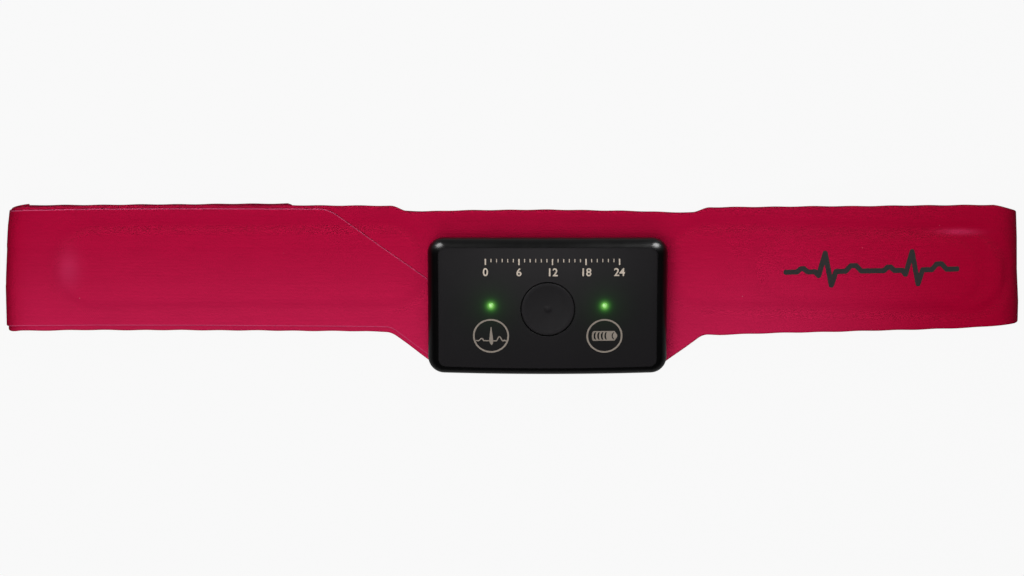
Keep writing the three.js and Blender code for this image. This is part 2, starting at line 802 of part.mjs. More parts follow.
// Rear cover: a shallow tray with screw bosses and four seats for the snap sockets
function makeRearCover() {
  const outside = stack([
    caseRing(rearEdgeRound, rearEdgeRound, 0, 0, caseCornerRadius - rearEdgeRound / 2),
    caseRing(rearEdgeRound / 2, rearEdgeRound / 2, rearEdgeRound / 4, 0),
    caseRing(rearEdgeRound / 6, rearEdgeRound / 6, rearEdgeRound * 0.7, 0),
    caseRing(0, 0, rearEdgeRound * 1.3, 0),
    caseRing(0, 0, rearCoverHeight, 0),
  ]);
  const inside = stack([
    caseRing(rearEdgeRound, rearEdgeRound, rearFloor, 0, caseCornerRadius - caseWall),
    caseRing(caseWall, caseWall, rearFloor + rearEdgeRound / 2, 0, caseCornerRadius - caseWall),
    caseRing(caseWall, caseWall, rearCoverHeight + overrun, 0, caseCornerRadius - caseWall),
  ]);
  const bosses = screwPlaces.flatMap(([x, y]) => [
    post(bossFootRadius, rearFloor / 2, rearFloor + bossFootHeight, x, y),
    post(bossRadius, rearFloor, boardHeight, x, y),
  ]);
  const screwHoles = screwPlaces.flatMap(([x, y]) => [
    post(screwHeadRadius + screwClearance, -overrun, screwHeadSink + screwHeadHeight, x, y),
    post(screwShankRadius + screwClearance, 0, boardHeight + overrun, x, y, smallTurnSteps),
  ]);
  const seats = studPlaces.map(([x, y]) => post(
    socketRadius + socketClearance, -overrun, rearFloor + overrun, x, y,
  ));
  return cut(join(cut(outside, [inside]), bosses), [...screwHoles, ...seats]);
}

function makeGasket() {
  const outer = [gasketInset, gasketInset, caseCornerRadius - gasketInset];
  const innerInset = gasketInset + gasketWidth;
  const ring = ([x, y, radius], height) => caseRing(x, y, height, 0, radius);
  const inner = [innerInset, innerInset, caseCornerRadius - innerInset];
  const outside = stack([ring(outer, rearCoverHeight), ring(outer, frontCoverHeight)]);
  const inside = stack([
    ring(inner, rearCoverHeight - overrun), ring(inner, frontCoverHeight + overrun),
  ]);
  return cut(outside, [inside]);
}

function makeCoverScrew() {
  const seat = screwHeadSink + screwHeadHeight;
  const screw = turned([
    [0, screwHeadSink],
    [screwHeadRadius, screwHeadSink],
    [screwHeadRadius, seat],
    [screwShankRadius, seat],
    [screwShankRadius, boardTop + screwReach - screwShankRadius],
    [0, boardTop + screwReach],
  ], smallTurnSteps);
  const slots = [[screwSlotLength, screwSlotWidth], [screwSlotWidth, screwSlotLength]].map(([x, y]) => {
    const slot = new THREE.BoxGeometry(x, y, 2 * screwSlotDepth);
    slot.translate(0, 0, screwHeadSink);
    return slot;
  });
  return cut(screw, slots);
}

// Snap socket: a pressed cup in the rear cover, open downwards, with a seating flange
const socketBoreTop = studRise;
const socketTop = socketBoreTop + socketRoof;

function makeSnapSocket() {
  const bore = studHeadRadius + snapClearance;
  return turned([
    [0, socketBoreTop],
    [bore, socketBoreTop],
    [bore, 0],
    [socketRadius, 0],
    [socketRadius, rearFloor],
    [socketFlangeRadius, rearFloor],
    [socketFlangeRadius, rearFloor + socketFlangeHeight],
    [bore + socketRoof, rearFloor + socketFlangeHeight],
    [bore + socketRoof, socketTop],
    [0, socketTop],
  ]);
}

function makeContactPin() {
  return turned([
    [0, socketTop],
    [pinRadius, socketTop],
    [pinRadius, socketTop + pinTipHeight],
    [pinBarrelRadius, socketTop + pinTipHeight],
    [pinBarrelRadius, boardHeight],
    [0, boardHeight],
  ], smallTurnSteps);
}

// Snap stud: flange on the dock plate, ball head above and a rivet shank below
function makeSnapStud() {
  const flangeTop = studFlangeThickness;
  const top = studFlangeThickness + studRise;
  return turned([
    [0, -dockPlateThickness - bandThickness],
    [studShankRadius, -dockPlateThickness - bandThickness],
    [studShankRadius, 0],
    [studFlangeRadius, 0],
    [studFlangeRadius, flangeTop],
    [studNeckRadius, flangeTop],
    [studNeckRadius, top - studHeadHeight],
    [studHeadRadius, top - studHeadHeight / 2],
    [studNeckRadius, top],
    [0, top],
  ], smallTurnSteps);
}

function makeStudCap() {
  return turned([
    [0, bandUnderside - studCapThickness],
    [studCapRadius - studCapThickness / 2, bandUnderside - studCapThickness],
    [studCapRadius, bandUnderside - studCapThickness / 2],
    [studCapRadius, bandUnderside],
    [0, bandUnderside],
  ], smallTurnSteps);
}

function makeDockPlate() {
  const inset = dockPlateInset;
  const ring = (extra, height) => caseRing(inset + extra, inset + extra, height, 0);
  const body = stack([
    ring(0, 0),
    ring(0, dockPlateThickness - dockPlateChamfer),
    ring(dockPlateChamfer, dockPlateThickness),
  ]);
  return cut(body, studPlaces.map(([x, y]) => post(
    studHoleRadius, -overrun, dockPlateThickness + overrun, x, y, smallTurnSteps,
  )));
}

// Belt
addPiece(part, 'base_band', makeBaseBand(), crimsonTextile);
addPiece(part, 'left_cover_layer', makeLeftCover(), crimsonTextile);
addPiece(part, 'rear_left_strap', makeRearLeftStrap(), crimsonWeb);
addPiece(part, 'closure_tab', endPiece(
  tabRootX, tabEndX, rearLeftLine, tabCornerRadius, 0, webThickness,
), crimsonWeb);
addPiece(part, 'hook_patch', endPiece(
  tabRootX + patchInset, tabEndX - patchInset, insetLine(rearLeftLine, patchInset),
  tabCornerRadius - patchInset / 2, webThickness, patchThickness,
), blackRubber);
addPiece(part, 'rear_right_strap', makeRearRightStrap(), crimsonWeb);
addPiece(part, 'loop_patch', endPiece(
  tabRootX + patchInset, tabEndX - patchInset, insetLine(rearRightLine, patchInset),
  tabCornerRadius - patchInset / 2, lapHeight - patchThickness, patchThickness,
), blackRubber);
addPiece(part, 'left_electrode_pad', makePad(leftPadStartX, leftPadEndX, -1), darkPad);
const rightPadEnd = rightFoldX + rightPadFoldShare * Math.PI * rightFoldRadius;
addPiece(part, 'right_electrode_pad', makePad(rightPadStartX, rightPadEnd, 1), darkPad);
addPiece(part, 'centre_electrode_pad', plate(
  recorderLength - 2 * centrePadMargin, recorderWidth - 2 * centrePadMargin - conductorWidth,
  caseCornerRadius, centrePadThickness,
), darkPad, recorderX, -recorderDrop, bandUnderside - studCapThickness - centrePadThickness);

const leftStudX = recorderX - studSpacingX / 2;
const rightStudX = recorderX + studSpacingX / 2;
const capReach = studCapRadius + conductorGap;
addPiece(part, 'left_conductor', makeConductor(leftPadEndX + conductorGap, leftStudX - capReach), gold);
addPiece(part, 'right_conductor', makeConductor(rightStudX + capReach, rightPadStartX - conductorGap), gold);

// Dock plate and the snap fasteners that hold it on the band
addPiece(part, 'dock_plate', makeDockPlate(), blackMatt, recorderX, -recorderDrop, dockTopHeight);
studPlaces.forEach(([x, y], i) => {
  const place = [recorderX + x, y - recorderDrop];
  addPiece(part, `snap_stud_${i + 1}`, makeSnapStud(), steel, ...place, dockPlateTop);
  addPiece(part, `stud_cap_${i + 1}`, makeStudCap(), steel, ...place);
});

// Recorder
addPiece(recorder, 'front_cover', makeFrontCover(), blackGloss);
addPiece(recorder, 'face_panel', makeFacePanel(), blackMatt);
addPiece(recorder, 'event_button', makeEventButton(), blackMatt);
addPiece(recorder, 'switch_plunger', makeSwitchPlunger(), whitePlastic);
addPiece(recorder, 'event_switch', makeEventSwitch(), shieldSteel);
addPiece(recorder, 'rear_cover', makeRearCover(), blackGloss);
addPiece(recorder, 'housing_gasket', makeGasket(), blackRubber);
addPiece(recorder, 'main_board', makeMainBoard(), boardGreen);

['left', 'right'].forEach((side, i) => {
  const [x, y] = ledPlaces[i];
  const led = new THREE.BoxGeometry(ledLength, ledWidth, ledHeight);
  addPiece(recorder, `${side}_light_pipe`, makeLightPipe(), greenLight, x, y);
  addPiece(recorder, `${side}_led`, led, whitePlastic, x, y, boardTop + ledHeight / 2);
});

screwPlaces.forEach(([x, y], i) => {
  addPiece(recorder, `cover_screw_${i + 1}`, makeCoverScrew(), steel, x, y);
});
studPlaces.forEach(([x, y], i) => {
  addPiece(recorder, `snap_socket_${i + 1}`, makeSnapSocket(), steel, x, y);
  addPiece(recorder, `contact_pin_${i + 1}`, makeContactPin(), gold, x, y);
});

// Chips stand on the board, clear of the button's lip
const chipX = buttonRadius + buttonFlangeLip + chipCornerGap;
const chipY = boardWidth / 2 - chipCornerGap;
function addChip(name, length, width, height, sideX, sideY, finish) {
  const x = sideX * (chipX + length / 2);
  const y = sideY * (chipY - width / 2);
  addPiece(recorder, name, plate(length, width, chipCornerGap / 4, height), finish, x, y, boardTop);
}
addChip('processor', processorSide, processorSide, processorHeight, -1, 1, chipBlack);
addChip('memory_chip', memoryLength, memoryWidth, memoryHeight, -1, -1, chipBlack);
addChip('radio_module', radioLength, radioWidth, radioHeight, 1, -1, shieldSteel);
addChip('signal_chip', frontEndSide, frontEndSide, frontEndHeight, 1, 1, chipBlack);

// Battery, on its foam pad, with a lead up to the connector under the board
const batteryBase = rearFloor + batteryPadThickness;
addPiece(recorder, 'battery_pad', plate(
  batteryLength - 2 * batteryPadInset, batteryWidth - 2 * batteryPadInset,
  batteryCornerRadius, batteryPadThickness, rearFloor,
), foamGrey);
addPiece(recorder, 'battery_cell', plate(
  batteryLength, batteryWidth, batteryCornerRadius, batteryThickness, batteryBase,
), cellSilver);
const connectorY = batteryWidth / 2 + leadGap + leadThickness + leadGap + connectorWidth / 2;
const connectorBase = boardHeight - connectorHeight;
addPiece(recorder, 'battery_connector', plate(
  connectorLength, connectorWidth, leadThickness, connectorHeight, connectorBase,
), whitePlastic, 0, connectorY);
const lead = new THREE.BoxGeometry(leadWidth, leadThickness, connectorHeight - leadThickness);
addPiece(recorder, 'battery_lead', lead, blackRubber,
  0, batteryWidth / 2 + leadGap + leadThickness / 2, connectorBase + connectorHeight / 2);

// The origin is under the middle of the whole part's box
const rightEndShares = strapLineShares[strapLineShares.length - 1];
const partTopY = strapWidth * (rightEndShares[1] + rightEndShares[2] / 2);
part.position.y = (recorderDrop + recorderWidth / 2 - partTopY) / 2;

export default part;
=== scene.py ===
# Holter monitor: a heart recorder snapped onto a chest belt whose closed loop lies folded flat.
# Metres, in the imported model's frame: +X along the belt, +Y across it, +Z up out of the recorder's face.

import math

import bmesh
import bpy
import numpy as np
from mathutils import Matrix, Vector


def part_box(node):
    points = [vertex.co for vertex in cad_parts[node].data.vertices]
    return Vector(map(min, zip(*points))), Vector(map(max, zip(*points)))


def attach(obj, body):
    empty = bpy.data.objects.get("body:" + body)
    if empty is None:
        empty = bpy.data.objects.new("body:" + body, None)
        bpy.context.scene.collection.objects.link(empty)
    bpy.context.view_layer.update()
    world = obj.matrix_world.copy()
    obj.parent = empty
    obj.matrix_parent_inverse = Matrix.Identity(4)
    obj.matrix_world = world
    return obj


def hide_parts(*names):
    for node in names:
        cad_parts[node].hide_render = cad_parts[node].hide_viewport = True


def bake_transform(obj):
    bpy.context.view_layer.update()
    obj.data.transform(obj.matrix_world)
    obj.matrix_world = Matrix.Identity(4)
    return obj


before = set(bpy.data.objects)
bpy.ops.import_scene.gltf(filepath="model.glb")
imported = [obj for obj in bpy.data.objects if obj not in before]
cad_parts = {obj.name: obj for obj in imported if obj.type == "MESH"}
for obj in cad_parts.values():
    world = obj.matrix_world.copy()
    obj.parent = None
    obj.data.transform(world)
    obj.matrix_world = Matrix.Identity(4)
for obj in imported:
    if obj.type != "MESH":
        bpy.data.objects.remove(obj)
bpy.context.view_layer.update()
scene = bpy.context.scene
scene.view_settings.view_transform = "Standard"


# Camera
# It looks almost straight down on the folded belt, from a little above the belt's top edge,
# through a long lens, as the photograph does.
camera_distance = 0.650
camera_tilt = math.radians(9)
camera_aim = Vector((0, -0.0019, 0))
lens_length = 71.9


def link_new(name, data):
    """A new object in the scene, at the origin."""
    obj = bpy.data.objects.new(name, data)
    scene.collection.objects.link(obj)
    return obj


camera = link_new("camera", bpy.data.cameras.new("camera"))
camera.data.lens = lens_length
camera.location = camera_aim + camera_distance * Vector((0, math.sin(camera_tilt), math.cos(camera_tilt)))
camera.rotation_euler = (-camera_tilt, 0, 0)
scene.camera = camera


# Floor and studio light
# A plain pale floor under soft boxes. The floor keeps the object's shadow, looks near white to
# the eye, and lets light and sight through from below. Two cards show only in gloss, and two
# fills never do.
floor_size = 5.0
floor_drop = 0.0002
floor_colour = (0.24, 0.24, 0.24)
floor_white_share = 0.93
floor_gloss_share = 0.06
horizon_light = (0.06, 0.06, 0.062)
zenith_light = (0.24, 0.24, 0.25)
sky_falloff = 0.7
end_dimming = 0.8
corner_signs = ((-1, -1), (1, -1), (1, 1), (-1, 1))


def add_node(tree, kind, inputs=None, **settings):
    """Adds a node. An input is given as a value, or as the output socket that feeds it."""
    made = tree.nodes.new(kind)
    for name, value in settings.items():
        setattr(made, name, value)
    for socket, value in (inputs or {}).items():
        if isinstance(value, bpy.types.NodeSocket):
            tree.links.new(value, made.inputs[socket])
        else:
            made.inputs[socket].default_value = value
    return made


def calc(tree, operation, *values):
    """One step of arithmetic on values or sockets."""
    return add_node(tree, "ShaderNodeMath", dict(enumerate(values)), operation=operation).outputs[0]


def mix_colours(tree, factor, first, second, blend="MIX"):
    """First where factor is 0 and second where it is 1. A plain colour is given as red, green and blue."""
    colours = [c if isinstance(c, bpy.types.NodeSocket) else (*c, 1) for c in (first, second)]
    inputs = {0: factor, 6: colours[0], 7: colours[1]}
    return add_node(tree, "ShaderNodeMix", inputs, data_type="RGBA", blend_type=blend).outputs[2]


def mesh_object(name, points, faces, material=None, sharp=None):
    """A new object from points and faces, smooth but for edges past a sharp angle, if one is given."""
    mesh = bpy.data.meshes.new(name)
    mesh.from_pydata(points, [], faces)
    if material:
        mesh.materials.append(material)
    if sharp:
        mesh.shade_smooth()
        mesh.set_sharp_from_angle(angle=sharp)
    return link_new(name, mesh)


def make_floor_material():
    material = bpy.data.materials.new("pale_floor")
    material.use_nodes = True
    tree = material.node_tree
    tree.nodes.clear()
    paths = add_node(tree, "ShaderNodeLightPath").outputs
    seen = calc(tree, "MAXIMUM", paths["Is Camera Ray"], paths["Is Transmission Ray"])
    seen = calc(tree, "MULTIPLY", seen, floor_white_share)
    white = add_node(tree, "ShaderNodeEmission", {"Color": (1, 1, 1, 1), "Strength": 1})
    paint = add_node(tree, "ShaderNodeBsdfDiffuse", {"Color": (*floor_colour, 1)})
    share = calc(tree, "MULTIPLY_ADD", paths["Is Glossy Ray"], floor_gloss_share, seen)
    top = add_node(tree, "ShaderNodeMixShader", {0: share, 1: paint.outputs[0], 2: white.outputs[0]})
    clear = add_node(tree, "ShaderNodeBsdfTransparent")
    below = add_node(tree, "ShaderNodeNewGeometry").outputs["Backfacing"]
    both = add_node(tree, "ShaderNodeMixShader", {0: below, 1: top.outputs[0], 2: clear.outputs[0]})
    add_node(tree, "ShaderNodeOutputMaterial", {"Surface": both.outputs[0]})
    return material


def soft_box(name, place, size, power, lights_cloth=True, in_gloss=True):
    """An area lamp that faces the object. A gloss card shows in gloss only, and a fill never does."""
    lamp = bpy.data.lights.new(name, "AREA")
    lamp.shape = "RECTANGLE"
    lamp.size, lamp.size_y = size
    lamp.energy = power
    obj = link_new(name, lamp)
    obj.location = place
    obj.rotation_euler = (-Vector(place)).to_track_quat("-Z", "Y").to_euler()
    obj.visible_diffuse = lights_cloth
    obj.visible_glossy = in_gloss
    return obj


half_floor = floor_size / 2
floor_corners = [(x * half_floor, y * half_floor, -floor_drop) for x, y in corner_signs]
floor = mesh_object("floor", floor_corners, [(0, 1, 2, 3)], make_floor_material())

soft_box("overhead_box", place=(-0.09, 0.05, 0.59), size=(0.34, 0.32), power=2.3)
soft_box("front_fill", place=(0, -0.27, 0.54), size=(0.50, 0.14), power=0.75, in_gloss=False)
soft_box("back_fill", place=(0, 0.46, 0.36), size=(0.90, 0.30), power=0.75, in_gloss=False)
soft_box("left_gloss_card", place=(-0.56, 0.69, 0.24), size=(0.46, 0.46), power=17, lights_cloth=False)
soft_box("right_gloss_card", place=(0.56, 0.69, 0.24), size=(0.46, 0.46), power=22, lights_cloth=False)

world = bpy.data.worlds.new("studio")
world.use_nodes = True
scene.world = world
sky = world.node_tree
direction = add_node(sky, "ShaderNodeTexCoord").outputs["Generated"]
sky_parts = add_node(sky, "ShaderNodeSeparateXYZ", {0: direction}).outputs
low_share = calc(sky, "SUBTRACT", 1, calc(sky, "ABSOLUTE", sky_parts["Z"]))
low_share = calc(sky, "POWER", low_share, sky_falloff)
end_share = calc(sky, "MULTIPLY", calc(sky, "POWER", sky_parts["X"], 2), end_dimming)
sky_colour = mix_colours(sky, low_share, zenith_light, horizon_light)
sky_colour = mix_colours(sky, end_share, sky_colour, (0, 0, 0))
sky.links.new(sky_colour, sky.nodes["Background"].inputs["Color"])


# Base band
# The belt's front is one strip of crimson knit, laminated over soft electrodes and pressed
# round them, so that their outlines show. It runs round both folds of the closed loop.
strap_width = 0.0396
recorder_drop = 0.01115
band_thickness = 0.0015
laminate_gap = 0.0002
cover_thickness = 0.0007
left_fold_radius = 0.0045
fold_skew = 0.0009
dock_flat_margin = 0.0025
flare_depth = 0.0104
flare_reach = 0.0140
flare_overhang = 0.0120
flare_rounding = 0.0016
step_overhang = (0.0091, 0.0109)
step_length = 0.0055
step_drop = 0.0016
crown = 0.0006
right_fold_middle = (0.0007, 0.0352)
right_fold_end = (-0.0004, 0.0340)
strap_line_shares = [
    (-1.00, -0.007, 0.990),
    (-0.82, -0.003, 1.000),
    (-0.62, -0.006, 1.006),
    (-0.26, -0.021, 1.014),
    (0.41, -0.038, 1.028),
    (0.95, 0.048, 0.967),
]
crest_narrowing = (0.0004, 0.00025)
crest_narrowing_start = 0.0130
crest_narrowing_lead = 0.8
fold_lean_reach = 0.0300
left_fold_lean = [(-0.020, -0.0011), (-0.004, -0.0009), (0.004, -0.0003), (0.013, 0.0005), (0.019, 0.0014)]
right_fold_lean = [(-0.018, -0.0002), (-0.010, -0.0003), (0.000, -0.0011), (0.010, -0.0015), (0.019, -0.0021)]
ripple_size = 0.00010
ripple_length = 0.0118
ripple_shares = (0.7, 0.3)
ripple_slowing = 0.43
band_phases = (0.4, 2.1)
band_rim = 0.0006
band_step = 0.0008
fold_step = 0.0005
band_columns = 70
rim_shares = (0, 0.06, 0.25, 0.55, 1)
rim_limit = 0.4
groove_depth = 0.00034
groove_width = 0.0019
section_crown = 0.0010
section_crown_reach = 0.0250
pad_rise = 0.00016
pad_edge_softness = 0.0030
channel_width = 0.0118
channel_depth = 0.00012
channel_softness = 0.0016
print_rest = (0.0765, 0.1465)
print_rest_width = 0.0230
print_rest_groove = 0.00014
print_rest_groove_width = 0.0021
# The pressing's tones paint light on the raised pads and shade in the grooves and the channel.
raised_painted_light = 0.5
groove_painted_shade = 0.9
channel_painted_shade = 0.55
print_rest_painted_light = 0.4
print_rest_groove_painted_shade = 0.5
crimson = (0.381, 0.0018, 0.0335)
# Painted shade deepens the crimson to the right and at the left fold, and painted light pales it along the
# lower edge.
painted_shade_crimson = (0.325, 0.0000, 0.0215)
painted_light_crimson = (0.482, 0.0115, 0.0640)
right_end_painted_shade = (0.0700, 0.1500)
lower_edge_painted_light = (0.0180, -0.0300)
cut_edge_pink = (0.54, 0.062, 0.155)
cut_edge_width = 0.00027
cut_edge_fade = (1.4, 0.6)
# Pale pink patches of painted sheen at the ends of the two pads.
painted_sheen_pink = (0.445, 0.0150, 0.0680)
left_pad_painted_sheen = ((-0.1384, -0.0003, 0), 0.0032, 0.0056)
right_pad_painted_sheen = ((0.1390, 0.0125, 0), 0.0062, 0.0009)
# A patch of painted shade darkens the left fold.
left_fold_painted_shade = ((-0.1600, 0, 0), 0.0058, 0.2)
rib_spacing = 0.00046
yarn_spacing = 0.00062
yarn_relief = 0.00006
rib_share = 0.65
stitch_share = 0.35
streak_stretch = (90, 1500, 1)
streak_share = 0.15
cloud_scale = 60
cloud_share = 0.8
pressing_shade = 0.035
laminate_roughness = 0.62
cloth_specular = 0.015
lint_cell = 0.0040
lint_speck = 0.04
lint_share = 0.22
lint_strength = 0.22
lint_pink = (0.62, 0.35, 0.42)

recorder_low, recorder_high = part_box("front_cover")
recorder_x = (recorder_low.x + recorder_high.x) / 2
recorder_y = (recorder_low.y + recorder_high.y) / 2
strap_middle = recorder_y + recorder_drop
half_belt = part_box("base_band")[1].x
right_fold_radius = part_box("base_band")[1].z / 2
dock_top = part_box("dock_plate")[0].z
left_fold_x = -half_belt + left_fold_radius + laminate_gap + cover_thickness
right_fold_x = half_belt - right_fold_radius
band_start = left_fold_x - math.pi * left_fold_radius
band_end = right_fold_x + math.pi * right_fold_radius
left_pad_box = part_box("left_electrode_pad")
right_pad_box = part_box("right_electrode_pad")


def ease(share):
    """A smooth step from 0 to 1."""
    held = min(max(share, 0), 1)
    return held * held * (3 - 2 * held)


def between(first, second, share):
    return [a + (b - a) * share for a, b in zip(first, second)]


def rounded_ramp(distance, rounding):
    """Rises in proportion once past zero, with a rounded start."""
    if distance <= -rounding:
        return 0
    if distance >= rounding:
        return distance
    return (distance + rounding) ** 2 / (4 * rounding)


def front_height(x):
    """Height of the band's outer face between the crests of the two folds."""
    left, right = recorder_low.x + dock_flat_margin, recorder_high.x - dock_flat_margin
    if x < left:
        share = ease((x - left_fold_x) / (left - left_fold_x))
        return 2 * left_fold_radius + (dock_top - 2 * left_fold_radius) * share
    share = ease((x - right) / (right_fold_x - right))
    return dock_top + (2 * right_fold_radius - dock_top) * share


def band_point(run):
    """X and Z on the band's outer face, and the normal there. Run is X along the front, and past
    each fold's crest it goes on round the fold."""
    if run < left_fold_x or run > right_fold_x:
        left = run < left_fold_x
        crest, radius = (left_fold_x, left_fold_radius) if left else (right_fold_x, right_fold_radius)
        angle = (run - crest) / radius
        normal = (math.sin(angle), math.cos(angle))
        return (crest + radius * normal[0], radius + radius * normal[1]), normal
    slope = (front_height(run + laminate_gap) - front_height(run - laminate_gap)) / (2 * laminate_gap)
    size = math.hypot(slope, 1)
    return (run, front_height(run)), (-slope / size, 1 / size)


def strap_line(x):
    """Rise of the strap's middle, and its width."""
    places = [row[0] * half_belt for row in strap_line_shares]
    rise = np.interp(x, places, [row[1] * strap_width for row in strap_line_shares])
    width = np.interp(x, places, [row[2] * strap_width for row in strap_line_shares])
    return float(rise), float(width)


def ripple(run, phase):
    """The small wander of a cut textile edge."""
    turn = 2 * math.pi * run / ripple_length + phase
    quick, slow = math.sin(turn), math.sin(ripple_slowing * turn + 2 * phase)
    return ripple_size * (ripple_shares[0] * quick + ripple_shares[1] * slow)


def band_edges(run):
    """Lower and upper edge of the band."""
    line = strap_line(min(max(run, left_fold_x), right_fold_x))
    if run < left_fold_x:
        turn = (left_fold_x - run) / (math.pi * left_fold_radius)
        line = (line[0] - fold_skew / 2 * math.sin(math.pi * turn), line[1])
    if run > right_fold_x:
        turn = (run - right_fold_x) / (math.pi * right_fold_radius)
        first, second = (line, right_fold_middle) if turn < 0.5 else (right_fold_middle, right_fold_end)
        line = between(first, second, 2 * turn % 1 if turn < 1 else 1)
    flare_run = min(run - (recorder_low.x - flare_overhang), recorder_high.x + flare_overhang - run)
    flare_share = rounded_ramp(flare_run, flare_rounding)
    flare_share -= rounded_ramp(flare_run - flare_reach, flare_rounding)
    step_run = min(run - recorder_low.x + step_overhang[0], recorder_high.x + step_overhang[1] - run)
    step = step_drop * ease(step_run / step_length + 0.5)
    from_middle = (run - recorder_x) / (recorder_high.x - recorder_x)
    rise = strap_middle + line[0]
    low = rise - line[1] / 2 - flare_depth * flare_share / flare_reach + ripple(run, band_phases[0])
    high = rise + line[1] / 2 - step + crown * max(1 - from_middle ** 2, 0) + ripple(run, band_phases[1])
    narrowed = ease((run - right_fold_x) / crest_narrowing_start + crest_narrowing_lead)
    narrowed *= 1 - ease((run - right_fold_x) / (math.pi * right_fold_radius))
    return low + crest_narrowing[0] * narrowed, high - crest_narrowing[1] * narrowed


def fold_lean(run, y):
    """How far along X a fold's crest stands out of square at a place across it."""
    left_share = ease((left_fold_x + fold_lean_reach - run) / fold_lean_reach)
    right_share = ease((run - right_fold_x + fold_lean_reach) / fold_lean_reach)
    rows, share = (left_fold_lean, left_share) if run < 0 else (right_fold_lean, right_share)
    return share * float(np.interp(y - strap_middle, [row[0] for row in rows], [row[1] for row in rows]))


def depth_inside(x, y, low, high, corner):
    """How far inside a flat box with round corners a point lies, below zero outside it."""
    past_x = abs(x - (low[0] + high[0]) / 2) - (high[0] - low[0]) / 2 + corner
    past_y = abs(y - (low[1] + high[1]) / 2) - (high[1] - low[1]) / 2 + corner
    return corner - math.hypot(max(past_x, 0), max(past_y, 0)) - min(max(past_x, past_y), 0)


def pressed(run, y):
    """How far the pressing raises or sinks the cloth, with painted light on its pads and painted shade in its
    grooves.
    """
    from_dock = max(recorder_low.x - run, run - recorder_high.x)
    fade = ease(from_dock / pad_edge_softness)
    if run < recorder_x:
        low, high = left_pad_box
        area = (low.x, low.y), (recorder_low.x, high.y)
    else:
        low, high = right_pad_box
        area = (recorder_high.x, low.y), (high.x, high.y)
    inside = depth_inside(run, y, *area, (high.y - low.y) / 2)
    raised = ease(inside / pad_edge_softness)
    groove = math.exp(-(inside / groove_width) ** 2)
    height = pad_rise * raised - groove_depth * groove
    tone = raised_painted_light * raised - groove_painted_shade * groove
    middle = (low.y + high.y) / 2
    if run < recorder_x:
        in_channel = ease((channel_width / 2 - abs(y - middle)) / channel_softness + 0.5)
        height -= channel_depth * in_channel
        tone -= channel_painted_shade * in_channel
    else:
        half = print_rest_width / 2
        rest = depth_inside(run, y, (print_rest[0], middle - half), (print_rest[1], middle + half), half)
        raised = ease(rest / pad_edge_softness)
        ring = math.exp(-(rest / print_rest_groove_width) ** 2)
        height += pad_rise * raised - print_rest_groove * ring
        tone += print_rest_painted_light * raised - print_rest_groove_painted_shade * ring
    return height * fade, tone * fade


def section_sag(run, y):
    """How far the band's two edges hang under its middle, away from the recorder and the folds."""
    from_dock = max(recorder_low.x - run, run - recorder_high.x)
    share = ease(from_dock / section_crown_reach) * ease((right_fold_x - run) / section_crown_reach)
    share *= ease((run - left_fold_x) / section_crown_reach)
    return section_crown * share * ((y - strap_middle) / (strap_width / 2)) ** 2


def band_surface(run, y, depth=0):
    """A point of the band at a depth under its outer face, with the normal and the tone."""
    (x, z), (nx, nz) = band_point(run)
    height, tone = pressed(run, y)
    height -= section_sag(run, y)
    normal = np.array((nx, 0, nz))
    return np.array((x + fold_lean(run, y), y, z)) + (height - depth) * normal, normal, tone


def spaced(start, end, step, rim):
    """Places from start to end, close together in the rim at each end."""
    count = max(2, round((end - start - 2 * rim) / step) + 1)
    inner = np.linspace(start + rim, end - rim, count)[1:-1]
    return [start + rim * s for s in rim_shares] + list(inner) + [end - rim * s for s in reversed(rim_shares)]


def cut_size(runs, edges):
    """A cloth's greatest width, its length and its area before it is bent."""
    widths = [high - low for low, high in map(edges, runs)]
    area = sum((b - a) * (v + w) / 2 for a, b, v, w in zip(runs, runs[1:], widths, widths[1:]))
    return dict(flat=(max(widths), runs[-1] - runs[0]), area=area)


def lay_cloth(name, runs, edges, surface, thickness, rim, material, node, columns=band_columns):
    """A closed sheet with a rounded rim in place of a CAD node, and its size when cut. Surface
    gives a point of its upper face, the normal and the tone."""
    upper, lower, flat, facts = [], [], [], []
    for run in runs:
        low, high = edges(run)
        side_rim = min(rim, rim_limit * (high - low))
        across = spaced(low, high, (high - low - 2 * side_rim) / columns, side_rim)
        for y in across:
            from_edge = max(min(y - low, high - y, run - runs[0], runs[-1] - run), 0)
            half = thickness / 2 * math.sqrt(1 - (1 - min(from_edge / rim, 1)) ** 2)
            point, normal, tone = surface(run, y)
            middle = point - normal * thickness / 2
            upper.append(middle + normal * half)
            lower.append(middle - normal * half)
            flat.append((run, y - strap_middle))
            facts.append((from_edge, tone))
    rows, count = len(runs), len(across)
    top = np.arange(rows * count).reshape(rows, count)
    under = top.copy()
    under[1:-1, 1:-1] = top.size + np.arange((rows - 2) * (count - 2)).reshape(rows - 2, count - 2)
    kept = top[1:-1, 1:-1].ravel()
    points = np.vstack([upper, np.array(lower)[kept]])
    flat = np.vstack([flat, np.array(flat)[kept]])
    facts = np.vstack([facts, np.array(facts)[kept]])

    def quads(grid):
        return np.stack([grid[:-1, :-1], grid[1:, :-1], grid[1:, 1:], grid[:-1, 1:]], -1).reshape(-1, 4)

    faces = np.vstack([quads(top), quads(under)[:, ::-1]])
    obj = mesh_object(name, points.tolist(), faces.tolist(), material)
    mesh = obj.data
    corners = mesh.uv_layers.new(name="cloth")
    order = np.zeros(len(mesh.loops), int)
    mesh.loops.foreach_get("vertex_index", order)
    corners.data.foreach_set("uv", flat[order].astype(np.float32).ravel())
    for i, fact in enumerate(("from_edge", "tone")):
        mesh.attributes.new(fact, "FLOAT", "POINT").data.foreach_set("value", facts[:, i].astype(np.float32))
    mesh.shade_smooth()
    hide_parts(node)
    return obj, cut_size(runs, edges)


def split(tree, vector):
    return add_node(tree, "ShaderNodeSeparateXYZ", {0: vector}).outputs


